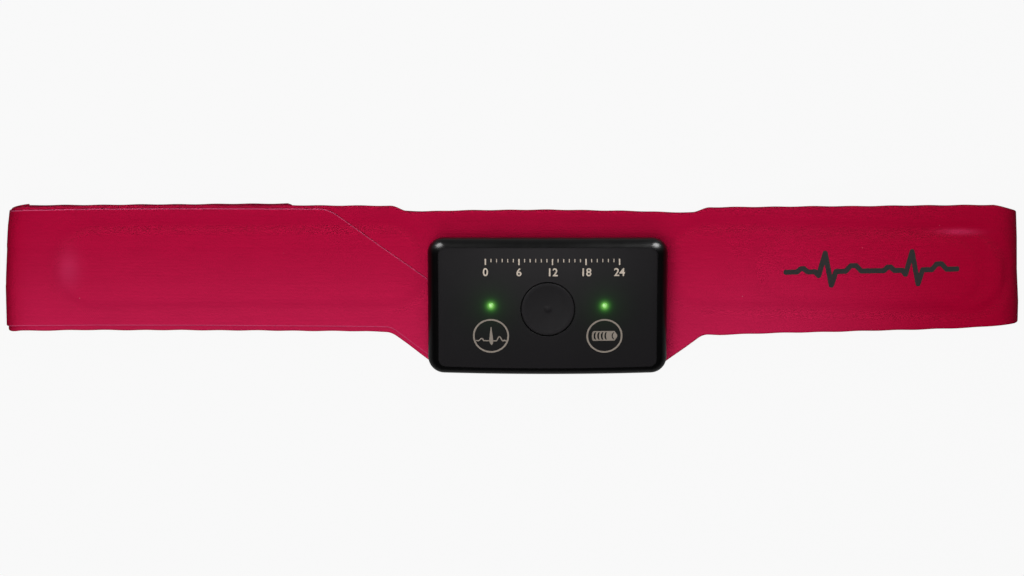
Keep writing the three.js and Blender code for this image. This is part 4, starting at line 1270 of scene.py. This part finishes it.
def carve(obj, tools, operation="DIFFERENCE"):
    """Cuts the tools out of a piece, or joins them to it."""
    for tool in tools:
        modifier = obj.modifiers.new("carve", "BOOLEAN")
        modifier.operation = operation
        modifier.solver = "EXACT"
        modifier.object = tool
    settle(obj)
    for tool in tools:
        bpy.data.objects.remove(tool)
    obj.data.shade_smooth()
    obj.data.set_sharp_from_angle(angle=sharp_angle)


dock_plastic = make_solid_material(
    "dock_plastic", dock_colour, roughness=0.55, size=0.0003, relief=0.00002, specular_ior_level=0.06,
)
snap_steel = make_solid_material(
    "snap_steel", steel_tone, roughness=0.36, size=0.0002, relief=0.000008, metallic=1,
)

half_x, half_y = half_sizes(dock_low, dock_high)
rings = [round_ring(half_x, half_y, case_corner, dock_low.z, case_bow)]
for i, d in round_edge(dock_round):
    rings.append(round_ring(half_x - i, half_y - i, case_corner - i, dock_high.z - d, case_bow))
dock = ring_stack("dock_moulding", rings, dock_plastic)
ride_as(dock, "belt", "dock_plastic", "dock_plate")

stud_shape = turned("stud_shape", soften(stud_profile, reach=0.00025))
studs = repeat_shape("belt_snap_studs", stud_shape, [(x, y, dock_high.z) for x, y in stud_places], snap_steel)
ride_as(studs, "belt", "snap_steel", *four("snap_stud"))
cap_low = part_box("stud_cap_1")[0].z
cap_profile = [(0, 0), (cap_radius, 0), (cap_radius, cap_thickness), (0, cap_thickness)]
cap_shape = turned("cap_shape", soften(cap_profile, reach=0.0003))
caps = repeat_shape("belt_stud_caps", cap_shape, [(x, y, cap_low) for x, y in stud_places], snap_steel)
ride_as(caps, "belt", "snap_steel", *four("stud_cap"))


# Rear cover
# A black moulded tray closes the recorder behind. Four pressed steel sockets in its floor
# snap onto the studs and are the electrode contacts, and four screws hold it to the front.
case_wall = 0.0015
case_draft = 0.17
case_rise = 0.00030
case_spread = 0.00041
bevel_start = 0.0074
rear_height = 0.0044
rear_floor = 0.0013
rear_base_curve = ((0.0009, 0), (0.00055, 0.00008), (0.0003, 0.0003), (0.00012, 0.0007), (0, 0.0013))
rear_rim = 0.0001
inner_corner = 0.0029
inner_foot = 0.0020
inner_foot_height = 0.0010
bore_overrun = 0.001
screw_side = (0.0320, 0.0158)
boss_radius = 0.0021
board_base = 0.0060
board_top = 0.0070
socket_radius = 0.0041
socket_gap = 0.0003
screw_head = 0.0018
screw_sink = 0.0004
screw_seat = 0.0016
screw_shank = 0.0007
screw_end = 0.0086
slot_size = (0.0022, 0.0005, 0.0012)
socket_profile = [
    (0, 0.0020), (0.00215, 0.0020), (0.00215, 0), (0.0041, 0), (0.0041, 0.0013), (0.0052, 0.0013),
    (0.0052, 0.0017), (0.00275, 0.0017), (0.00275, 0.0026), (0, 0.0026),
]
pin_profile = [
    (0, 0.0026), (0.0008, 0.0026), (0.0008, 0.0035), (0.0013, 0.0035), (0.0013, 0.0060), (0, 0.0060),
]
gloss_black = (0.0006, 0.0006, 0.0007)

case_low, case_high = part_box("rear_cover")
case_base = case_low.z
half_case_x, half_case_y = half_sizes(case_low, case_high)
half_case_y += case_spread
screw_places = [(x * screw_side[0], y * screw_side[1]) for x, y in corner_signs]
socket_places = [(p.x - recorder_x, p.y - recorder_y) for p in stud_places]


def case_ring(inset, height, radius=None, arch_radius=None):
    """A ring of the case, inset from its sides and ends, at a height over the recorder's base."""
    side, end = inset if isinstance(inset, tuple) else (inset, inset)
    radius = radius or case_corner - side
    half_x, half_y = half_case_x - side, half_case_y - end
    ring = round_ring(half_x, half_y, radius, case_base + height, case_bow, arch_radius)
    return ring + (0, case_rise, 0)


def wall_ring(inset, height):
    """A ring of the outer wall, which draws in from the widest line down to the belt."""
    return case_ring(inset + case_draft * (bevel_start - height), height)


def on_case(x, y, z=0):
    return (recorder_x + x, recorder_y + y, case_base + z)


def posts(places, radius, low, high):
    """Upright round posts, as tools that join or cut a cover."""
    profile = [(0, low), (radius, low), (radius, high), (0, high)]
    return [turned("post", profile, place=on_case(*place)) for place in places]


case_gloss = make_solid_material(
    "case_gloss", gloss_black, roughness=0.28, size=0.0009, relief=0.000003,
    uneven=0.1, rubbed_and_painted_light=0.05, mottle=0.012, specular_ior_level=0.18,
)
rings = [wall_ring(*point) for point in rear_base_curve]
rings += [
    wall_ring(0, rear_height - rear_rim),
    wall_ring(rear_rim, rear_height),
    case_ring(case_wall, rear_height, inner_corner),
    case_ring(case_wall, rear_floor + inner_foot_height, inner_corner),
    case_ring(inner_foot, rear_floor, inner_corner),
]
rear_cover = ring_stack("rear_cover_shell", rings, case_gloss)
carve(rear_cover, posts(screw_places, boss_radius, rear_floor / 2, board_base), "UNION")
carve(rear_cover, posts(socket_places, socket_radius + socket_gap, -bore_overrun, rear_floor + bore_overrun))
carve(rear_cover, posts(screw_places, screw_head + socket_gap, -bore_overrun, screw_seat))
carve(rear_cover, posts(screw_places, screw_shank + socket_gap, bore_overrun, board_base + bore_overrun))
ride_as(rear_cover, "recorder", "case_gloss", "rear_cover")

socket_shape = turned("socket_shape", soften(socket_profile, reach=0.00025))
socket_seats = [on_case(*p) for p in socket_places]
sockets = repeat_shape("recorder_snap_sockets", socket_shape, socket_seats, snap_steel)
ride_as(sockets, "recorder", "snap_steel", *four("snap_socket"))
pin_shape = turned("pin_shape", soften(pin_profile, reach=0.00015), steps=24)
pins = repeat_shape("recorder_contact_pins", pin_shape, socket_seats, contact_metal)
ride_as(pins, "recorder", "contact_metal", *four("contact_pin"))

screw_profile = [
    (0, screw_sink), (screw_head, screw_sink), (screw_head, screw_seat), (screw_shank, screw_seat),
    (screw_shank, screw_end - screw_shank), (0, screw_end),
]
screw_shape = turned("screw_shape", soften(screw_profile, reach=0.0002), steps=32)
long, short, deep = slot_size
slots = [box_shape("slot", (0, 0, screw_sink), size) for size in ((long, short, deep), (short, long, deep))]
carve(screw_shape, slots)
screws = repeat_shape("rear_cover_screws", screw_shape, [on_case(*p) for p in screw_places], snap_steel)
ride_as(screws, "recorder", "snap_steel", *four("cover_screw"))


# Board and battery
# Inside lie a green circuit board with its chips, a push switch and two green LEDs, and under
# it a flat cell on a foam pad, plugged into the board by a short lead.
foam_rim = 0.0002
board_green = (0.012, 0.10, 0.045)
chip_black = (0.010, 0.010, 0.011)
battery_silver = (0.46, 0.47, 0.49)
plastic_white = (0.79, 0.77, 0.72)
foam_grey = (0.09, 0.09, 0.10)

board = make_solid_material(
    "board", board_green, roughness=0.42, size=0.0006, relief=0.00002, uneven=0.3, mottle=0.002,
)
chip = make_solid_material("chip", chip_black, roughness=0.5, size=0.0002, relief=0.00001)
shield_metal = make_solid_material(
    "shield_metal", steel_tone, roughness=0.3, size=0.0003, relief=0.00001, metallic=1,
)
battery_skin = make_solid_material(
    "battery_skin", battery_silver, roughness=0.38, size=0.0012, relief=0.00003, metallic=0.6,
)
white_plastic = make_solid_material(
    "white_plastic", plastic_white, roughness=0.45, size=0.0003, relief=0.00001, uneven=0.04,
)
foam = make_solid_material("foam", foam_grey, roughness=0.95, size=0.0004, relief=0.0001)
gasket_rubber = make_solid_material(
    "gasket_rubber", chip_black, roughness=0.75, size=0.0003, relief=0.00002, specular_ior_level=0.1,
)
finish_nodes(board, "main_board")
finish_nodes(chip, "processor", "memory_chip", "signal_chip")
finish_nodes(shield_metal, "radio_module", "event_switch")
finish_nodes(battery_skin, "battery_cell")
finish_nodes(white_plastic, "battery_connector", "left_led", "right_led", "switch_plunger")
finish_nodes(gasket_rubber, "battery_lead")
lay_slab("battery_foam", "recorder", "foam", "battery_pad", case_wall, foam_rim, foam)


# Gasket
# A rubber ring lies between the edges of the two covers, set in a little from their outer
# faces. It shows as a fine dull line round the case.
gasket_inset = 0.00065
gasket_width = 0.0008
gasket_height = 0.0005

front_base = rear_height + gasket_height
outer, inner = gasket_inset, gasket_inset + gasket_width
section = ((inner, front_base), (inner, rear_height), (outer, rear_height), (outer, front_base))
loop = [case_ring(inset, height, case_corner - inset) for inset, height in section]
walls = ring_walls(len(loop), len(loop[0]), closed=True)
gasket = mesh_object("gasket_ring", np.vstack(loop).tolist(), walls, gasket_rubber, sharp_angle)
ride_as(gasket, "recorder", "gasket_rubber", "housing_gasket")


# Front cover
# The recorder's frame is one moulding in glossy black. It bows a little at its long sides,
# arches over the chest, and turns inwards in a wide round bevel to the recessed face panel.
case_height = 0.0125
arch_drop = 0.0016
side_bevel = 0.00350
end_bevel = 0.00265
bevel_curve = ((0, 0), (0.03, 0.55), (0.40, 0.84), (1, 1))
bevel_rim = 0.975
wall_arch_share = 0.7
bevel_steps = 20
panel_corner = 0.0022
panel_thickness = 0.0010
panel_gap = 0.00015
panel_sink = 0.0002
roof_thickness = 0.0012
rim_round = 0.00012
screw_bore_end = 0.0090
button_radius = 0.0082
button_gap = 0.0003
window_gap = 0.00012
pipe_radius = 0.00075
led_places = [(-0.01755, 0.00105), (0.01755, 0.00105)]

arch_radius = (half_case_x ** 2) / (2 * arch_drop)
panel_top = case_height - panel_sink
recess_floor = panel_top - panel_thickness - panel_gap
roof_underside = recess_floor - roof_thickness


def arch_at(x):
    return x * x / (2 * arch_radius)


def bevel_point(t):
    """How far inwards and upwards the bevel's curve has come, as shares of its whole reach."""
    weights = ((1 - t) ** 3, 3 * t * (1 - t) ** 2, 3 * t * t * (1 - t), t ** 3)
    return [sum(w * point[i] for w, point in zip(weights, bevel_curve)) for i in range(2)]


def bevel_ring(t):
    """A ring of the bevel. The arch comes in gradually with its height."""
    inwards, upwards = bevel_point(t)
    radius = case_corner + (panel_corner - case_corner) * inwards
    height = bevel_start + (case_height - bevel_start) * upwards
    ring = case_ring((side_bevel * inwards, end_bevel * inwards), height, radius)
    sunk = wall_arch_share + (1 - wall_arch_share) * upwards
    ring[:, 2] -= sunk * (ring[:, 0] - recorder_x) ** 2 / (2 * arch_radius)
    return ring


recess = tuple(bevel_point(bevel_rim)[0] * reach for reach in (side_bevel, end_bevel))
rings = [
    case_ring((side_bevel, end_bevel), roof_underside, panel_corner, arch_radius),
    case_ring(case_wall, bevel_start, case_corner - case_wall),
    case_ring(case_wall, front_base, case_corner - case_wall),
    wall_ring(rim_round, front_base),
    wall_ring(0, front_base + rim_round),
]
rings += [bevel_ring(bevel_rim * i / bevel_steps) for i in range(bevel_steps + 1)]
rings.append(case_ring(recess, recess_floor, panel_corner, arch_radius))
front_cover = ring_stack("front_cover_shell", rings, case_gloss)
past_face = case_height + bore_overrun
carve(front_cover, posts(screw_places, boss_radius, board_top, roof_underside + roof_thickness / 2), "UNION")
carve(front_cover, posts(screw_places, screw_shank + socket_gap, board_top - bore_overrun, screw_bore_end))
carve(front_cover, posts([(0, 0)], button_radius + button_gap, front_base, past_face))
carve(front_cover, posts(led_places, pipe_radius + window_gap, front_base, past_face))
ride_as(front_cover, "recorder", "case_gloss", "front_cover")


# Face panel
# A thin matt black inlay follows the arch. Two light pipes show through it as green points,
# and each lights the panel round it. Its black has a painted sheen, paler in an oval near its top edge.
panel_black = (0.0084, 0.0076, 0.0085)
# The paler black of the oval is a painted sheen.
lit_black = (0.0180, 0.0166, 0.0178)
lit_middle = (0, 0.0185)
lit_reach = (0.043, 0.027)
panel_round = 0.00014
panel_play = 0.00003
glows = [((1.16, 0, 0.58), 0.00040), ((0, 2.20, 0), 0.00051), ((0, 0.026, 0), 0.0032)]
core_colour = (0.43, 0.75, 0.264)
core_rim_colour = (0.19, 0.56, 0.09)
core_mottle = 0.0001
well_base = 0.0100
well_flare = 0.0001
pipe_green = (0.02, 0.05, 0.02)
pipe_base = 0.00775
pipe_lip_radius = 0.0014
pipe_lip = 0.0005
pipe_rise = 0.00004
pipe_crown = 0.00008
lip_gap = 0.00035


def panel_light(tree):
    """Light that the two light pipes throw on the panel, by the distance from each."""
    place = own_place(tree)
    total = None
    for x, y in led_places:
        centre = on_case(x, y, panel_top - arch_at(x))
        far = vector_calc(tree, "DISTANCE", place, centre, output="Value")
        for colour, reach in glows:
            falloff = calc(tree, "EXPONENT", calc(tree, "DIVIDE", far, -reach))
            lit = mix_colours(tree, falloff, (0, 0, 0), colour)
            total = lit if total is None else mix_colours(tree, 1, total, lit, "ADD")
    return total


def panel_colour(tree):
    """The panel's black, with a painted sheen that makes it paler towards the middle of the oval."""
    middle = (recorder_x + lit_middle[0], recorder_y + lit_middle[1], 0)
    apart = vector_calc(tree, "SUBTRACT", own_place(tree), middle)
    apart = vector_calc(tree, "MULTIPLY", apart, (1 / lit_reach[0], 1 / lit_reach[1], 0))
    far = vector_calc(tree, "LENGTH", apart, output="Value")
    share = share_between(tree, far, 1, 0, interpolation_type="SMOOTHSTEP")
    return mix_colours(tree, share, panel_black, lit_black)


panel_matt = make_solid_material(
    "panel_matt", panel_colour, roughness=0.58, size=0.00022, relief=0.000012,
    uneven=0.08, rubbed_and_painted_light=0.05, mottle=0.010, specular_ior_level=0.05, emission_strength=1,
)
tree = panel_matt.node_tree
tree.links.new(panel_light(tree), tree.nodes["Principled BSDF"].inputs["Emission Color"])

side, end = (inset + panel_play for inset in recess)
rings = [case_ring((side, end), panel_top - panel_thickness, panel_corner, arch_radius)]
for i, d in round_edge(panel_round):
    rings.append(case_ring((side + i, end + i), panel_top - d, panel_corner - i, arch_radius))
face_panel = ring_stack("face_panel_inlay", rings, panel_matt)
well = button_radius + button_gap
flared = panel_top + well_flare
well_profile = [
    (0, well_base), (well, well_base), (well, panel_top - well_flare), (well + 2 * well_flare, flared),
    (0, flared),
]
carve(face_panel, [turned("well", well_profile, steps=96, place=on_case(0, 0))])
carve(face_panel, posts(led_places, pipe_radius + window_gap, front_base, past_face))
ride_as(face_panel, "recorder", "panel_matt", "face_panel")

light_pipe, tree, shader = new_material(
    "light_pipe", roughness=0.3, base_color=pipe_green, emission_strength=1,
)
place = own_place(tree)
worn = use_group(tree, grain, {"Place": place, "Grain size": 0.0003, "Mottle size": 0.002})
parts = split(tree, place)
from_side = calc(tree, "ABSOLUTE", calc(tree, "SUBTRACT", parts["X"], recorder_x))
from_side = calc(tree, "SUBTRACT", from_side, led_places[1][0])
from_middle = calc(tree, "SUBTRACT", parts["Y"], recorder_y + led_places[1][1])
far = calc(tree, "ADD", calc(tree, "POWER", from_side, 2), calc(tree, "POWER", from_middle, 2))
far = calc(tree, "MULTIPLY_ADD", worn["Mottle"], core_mottle, calc(tree, "SQRT", far))
lit = mix_colours(tree, calc(tree, "DIVIDE", far, pipe_radius), core_colour, core_rim_colour)
tree.links.new(lit, shader.inputs["Emission Color"])
for side, (x, y) in zip(("left", "right"), led_places):
    top = panel_top - arch_at(x) + pipe_rise
    flange = roof_underside - arch_at(x) - lip_gap
    profile = [
        (0, pipe_base), (pipe_radius, pipe_base), (pipe_radius, flange - pipe_lip),
        (pipe_lip_radius, flange - pipe_lip), (pipe_lip_radius, flange), (pipe_radius, flange),
        (pipe_radius, top), (0, top + pipe_crown),
    ]
    profile = soften(profile, reach=0.00015)
    pipe = turned(side + "_light_guide", profile, light_pipe, steps=32, place=on_case(x, y))
    ride_as(pipe, "recorder", "light_pipe", side + "_light_pipe")


# Event button
# A dished round cap sits in a well in the face panel, with a pip to find by touch. A lip
# under the roof holds it in, and a plunger carries it to the switch.
button_edge = 0.00015
button_round = 0.0003
button_dish = 0.0004
dish_inset = 0.0009
dish_power = 0.9
dish_shares = (0.02, 0.05, 0.1, 0.17, 0.25, 0.35, 0.46, 0.58, 0.7, 0.82, 0.92, 1)
pip_radius = 0.00135
pip_height = 0.00025
pip_steps = 10
pip_steepness = 1.25
lip = 0.0009
lip_height = 0.0006

button_matt = make_solid_material(
    "button_matt", panel_black, roughness=0.55, size=0.00022, relief=0.000012,
    uneven=0.08, rubbed_and_painted_light=0.08, mottle=0.006, specular_ior_level=0.08,
)
lip_top = roof_underside - lip_gap
profile = soften([
    (0, lip_top - lip_height), (button_radius + lip, lip_top - lip_height), (button_radius + lip, lip_top),
    (button_radius, lip_top), (button_radius, panel_top - button_edge),
], reach=0.0001)[:-1]
profile += [(button_radius - i, panel_top - d) for i, d in round_edge(button_round, steps=6)]
dish_edge = button_radius - dish_inset
for t in dish_shares:
    sunk = button_dish * math.sin(math.pi / 2 * t) ** dish_power
    profile.append((dish_edge + (pip_radius - dish_edge) * t, panel_top - sunk))
profile += [
    (pip_radius * (1 - t), panel_top - button_dish + pip_height * ease(t * pip_steepness))
    for t in (i / pip_steps for i in range(1, pip_steps + 1))
]
event_button = turned("event_button_cap", profile, button_matt, steps=96, place=on_case(0, 0))
ride_as(event_button, "event_button", "button_matt", "event_button")


# Panel print
# Ink on the face panel: a beige scale of the day's twenty-four hours above the button, and a
# pulse and a battery in darker rings below the two lights.
ink_height = 0.000022
ink_sink = 0.00003
ink_specular = 0.1
ink_beige = (0.50, 0.43, 0.355)
ink_line = (0.226, 0.193, 0.162)
scale_middle = (0.0014, 0.0131)
scale_step = 0.00172
hours = 24
numbered_step = 6
tick_rise = 0.0026
long_tick = (0.00042, 0.00190)
short_tick = (0.00026, 0.00105)
numeral_size = 0.00345
numeral_weight = 0.018
numeral_drop = 0.0027
icon_radius = 0.00533
icon_stroke = 0.00052
icon_squash = 0.946
icon_drop = 0.00941
icon_line = 0.00036
icon_line_step = 0.00007
pulse_rest = -0.00162
battery_half = 0.00159
battery_start = -0.00394
battery_nose = 0.00314
battery_tip = 0.00397
battery_wall = 0.00036
battery_wall_end = 0.0012
battery_back_reach = 0.0006
battery_back_flatness = 0.30
battery_bar = 0.00056
battery_bars = (-0.00366, -0.00254, -0.00143, -0.00032)
battery_block = 0.00049
battery_bow = 0.00070
battery_notch = (0.00090, 0.00128)
battery_dot = (0.00058, 0.00098)
battery_cap_tip = (0.0001, 0.0004)
battery_turns = (1.25, 1.5)
notch_span = (105, 255)
mitre_limit = 0.6
nib_overlap = 0.96
nib_samples = 65


def facing_up(points, faces):
    """Turns every flat face to look up."""
    made = []
    for face in faces:
        ring = [points[i] for i in face]
        area = sum(a[0] * b[1] - b[0] * a[1] for a, b in zip(ring, ring[1:] + ring[:1]))
        made.append(tuple(face) if area > 0 else tuple(reversed(face)))
    return points, made


def filled(outline):
    """One flat patch within an outline."""
    return facing_up(outline, [tuple(range(len(outline)))])


def stroke(points, width, closed=False):
    """A drawn line of even width, mitred at its corners."""
    points = [Vector(p) for p in points]
    count = len(points)
    made = []
    for i, point in enumerate(points):
        before = points[(i - 1) % count] if closed or i else point * 2 - points[1]
        after = points[(i + 1) % count] if closed or i + 1 < count else point * 2 - points[-2]
        first, second = (point - before).normalized(), (after - point).normalized()
        along = (first + second).normalized()
        side = Vector((-along.y, along.x))
        reach = width / 2 / max(side.dot(Vector((-first.y, first.x))), mitre_limit)
        made += [tuple(point + side * reach), tuple(point - side * reach)]
    last = count if closed else count - 1
    faces = [(2 * i, 2 * i + 1, (2 * i + 3) % (2 * count), (2 * i + 2) % (2 * count)) for i in range(last)]
    return facing_up(made, faces)


def arc_points(centre, radius, start, end, steps):
    turns = np.linspace(start, end, steps + 1)
    return [(centre[0] + radius * math.cos(t), centre[1] + radius * math.sin(t)) for t in turns]


def numeral(words, centre):
    """The flat outline of some digits."""
    curve = bpy.data.curves.new("numeral", "FONT")
    curve.body = words
    curve.size = numeral_size
    curve.offset = numeral_weight * numeral_size
    curve.align_x = "CENTER"
    curve.resolution_u = 4
    obj = link_new("numeral", curve)
    mesh = made_mesh(obj)
    bpy.data.objects.remove(obj)
    bm = bmesh.new()
    bm.from_mesh(mesh)
    bmesh.ops.remove_doubles(bm, verts=bm.verts, dist=1e-7)
    bm.verts.index_update()
    points = [(v.co.x + centre[0], v.co.y + centre[1]) for v in bm.verts]
    faces = [[v.index for v in f.verts] for f in bm.faces]
    bm.free()
    return facing_up(points, faces)


def moved(shape, x, y, squash=1):
    points, faces = shape
    return [(a + x, b * squash + y) for a, b in points], faces


def print_ink(name, shapes, surface, material):
    """Flat shapes become a thin closed film of ink on a surface."""
    points, faces = [], []
    for flat, patches in shapes:
        base, count = len(points), len(flat)
        points += [surface(x, y, ink_height) for x, y in flat]
        points += [surface(x, y, -ink_sink) for x, y in flat]
        sides = {(a, b) for face in patches for a, b in zip(face, face[1:] + face[:1])}
        faces += [tuple(base + i for i in face) for face in patches]
        faces += [tuple(base + count + i for i in reversed(face)) for face in patches]
        for a, b in sorted(sides):
            if (b, a) not in sides:
                faces.append((base + b, base + a, base + count + a, base + count + b))
    return mesh_object(name, points, faces, material)


def on_panel(x, y, lift):
    return on_case(x, y, panel_top - arch_at(x) + lift)


def make_ink(name, colour, roughness):
    """Printed ink, a little thin and uneven in places."""
    return make_solid_material(
        name, colour, roughness=roughness, size=0.00012, relief=0.000004, uneven=0.10, mottle=0.0012,
        specular_ior_level=ink_specular,
    )


def thick_line(points, width, step, columns=1):
    """A line that never turns back along X, as if drawn with a round nib."""
    xs, ys = zip(*points)
    reach = width / 2
    made, faces = [], []
    places = np.arange(xs[0] - nib_overlap * reach, xs[-1] + nib_overlap * reach, step)
    for x in places:
        near = np.clip(x + np.linspace(-reach, reach, nib_samples), xs[0], xs[-1])
        rise = np.sqrt(np.maximum(reach ** 2 - (near - x) ** 2, 0))
        middle = np.interp(near, xs, ys)
        made += [(x, y) for y in np.linspace((middle - rise).min(), (middle + rise).max(), columns + 1)]
    for i in range(len(places) - 1):
        for j in range(columns):
            a = i * (columns + 1) + j
            faces.append((a, a + columns + 1, a + columns + 2, a + 1))
    return made, faces


def pulse_icon():
    flat = pulse_rest
    end = math.sqrt(icon_radius ** 2 - flat ** 2)
    before = [(-end, flat), (-0.0038, flat), (-0.0034, -0.00122), (-0.0031, -0.00088), (-0.00285, -0.00085)]
    before += [(-0.00255, -0.0011), (-0.0022, flat), (-0.0004, flat)]
    after = [(0.0005, flat), (0.00175, flat), (0.0021, -0.0009), (0.00238, -0.00038), (0.0026, -0.00028)]
    after += [(0.00288, -0.00040), (0.0033, -0.0012), (0.0036, flat), (0.00385, flat), (0.00415, -0.00136)]
    after += [(0.0044, flat), (end, flat)]
    spike = [(-0.00058, -0.00175), (-0.00026, -0.00256), (0.00013, -0.00299), (0.00052, -0.00273)]
    spike += [(0.00071, -0.00175), (0.00013, 0.00295), (-0.00010, 0.00295)]
    lines = [thick_line(line, icon_line, icon_line_step) for line in (before, after)]
    return lines + [filled(spike)]


def bowed(x, half_height, turn):
    """Points of a line across the battery, from bottom to top, that bows towards its back."""
    turns = np.linspace(-turn, turn, 9)
    return [(x + battery_bow * (1 - math.cos(t)), half_height * math.sin(t)) for t in turns]


def battery_icon():
    """A battery's outline with four bars in it, and a solid block with a pointed cap at its nose."""
    half, nose, tip = battery_half, battery_nose, battery_tip
    rise, back = half - battery_wall / 2, battery_start + battery_back_reach
    outline = arc_points((back, 0), rise, math.pi / 2, 1.5 * math.pi, steps=12)
    outline = [(back + (x - back) * battery_back_flatness, y) for x, y in outline]
    outline = [(battery_wall_end, rise)] + outline + [(battery_wall_end, -rise)]
    shapes = [stroke(outline, battery_wall)]
    shapes += [stroke(bowed(x, rise, battery_turns[0]), battery_bar) for x in battery_bars]
    turns = [math.radians(t) for t in np.linspace(*notch_span, 13)]
    notch, dot = (
        [(nose + x * math.cos(t), y * math.sin(t)) for t in turns] for x, y in (battery_notch, battery_dot)
    )
    short, low = battery_cap_tip
    cap = [(nose, half), (tip - short, low), (tip, 0), (tip - short, -low), (nose, -half)]
    block = bowed(battery_block, half, battery_turns[1])
    shapes.append(filled(block + [(nose, half)] + notch + [(nose, -half)]))
    shapes.append(filled(cap + [notch[-1]] + dot[::-1] + [notch[0]]))
    return shapes


panel_ink = make_ink("panel_ink", ink_beige, roughness=0.5)
line_ink = make_ink("line_ink", ink_line, roughness=0.5)
shapes = []
top = scale_middle[1] + tick_rise
for hour in range(hours + 1):
    x = scale_middle[0] + (hour - hours / 2) * scale_step
    numbered = hour % numbered_step == 0
    width, height = long_tick if numbered else short_tick
    shapes.append(stroke([(x, top), (x, top - height)], width))
    if numbered:
        shapes.append(numeral(str(hour), (x, scale_middle[1] - numeral_drop)))
day_scale = print_ink("day_scale_print", shapes, on_panel, panel_ink)
ride_as(day_scale, "recorder", "panel_ink")

shapes = []
for (x, y), icon in zip(led_places, (pulse_icon(), battery_icon())):
    ring = stroke(arc_points((0, 0), icon_radius, 0, 2 * math.pi, steps=72)[:-1], icon_stroke, closed=True)
    shapes += [moved(shape, x, y - icon_drop, icon_squash) for shape in [ring] + icon]
icons = print_ink("icon_print", shapes, on_panel, line_ink)
ride_as(icons, "recorder", "panel_ink")


# Belt print
# A pulse trace of two beats in dark grey transfer ink, pressed onto the belt's right half. It
# follows the cloth and its embossing.
trace_ink = (0.020, 0.019, 0.019)
trace_start = 0.0857
trace_end = 0.1384
trace_width = 0.00158
trace_step = 0.00012
trace_columns = 6
trace_lift = 0.00005
trace_drop = 0.0004
beat = [
    (0, 0), (0.13, 0), (0.17, 0.18), (0.21, 0.18), (0.25, 0), (0.34, 0), (0.38, -0.22), (0.45, 1),
    (0.53, -0.75), (0.58, 0), (0.69, 0), (0.75, 0.30), (0.81, 0.30), (0.87, 0), (1, 0),
]
beat_height = 0.0058


def on_band(x, y, lift):
    point, normal, tone = band_surface(x, y)
    return tuple(point + normal * (lift + trace_lift))


beat_length = (trace_end - trace_start) / 2
line = []
for start in (trace_start, trace_start + beat_length):
    for share, height in beat[1:] if line else beat:
        x = start + share * beat_length
        line.append((x, strap_middle + strap_line(x)[0] - trace_drop + height * beat_height))
belt_ink = make_ink("belt_ink", trace_ink, roughness=0.7)
drawn = thick_line(line, trace_width, trace_step, trace_columns)
trace = print_ink("belt_pulse_print", [drawn], on_band, belt_ink)
ride_as(trace, "belt", "belt_ink")
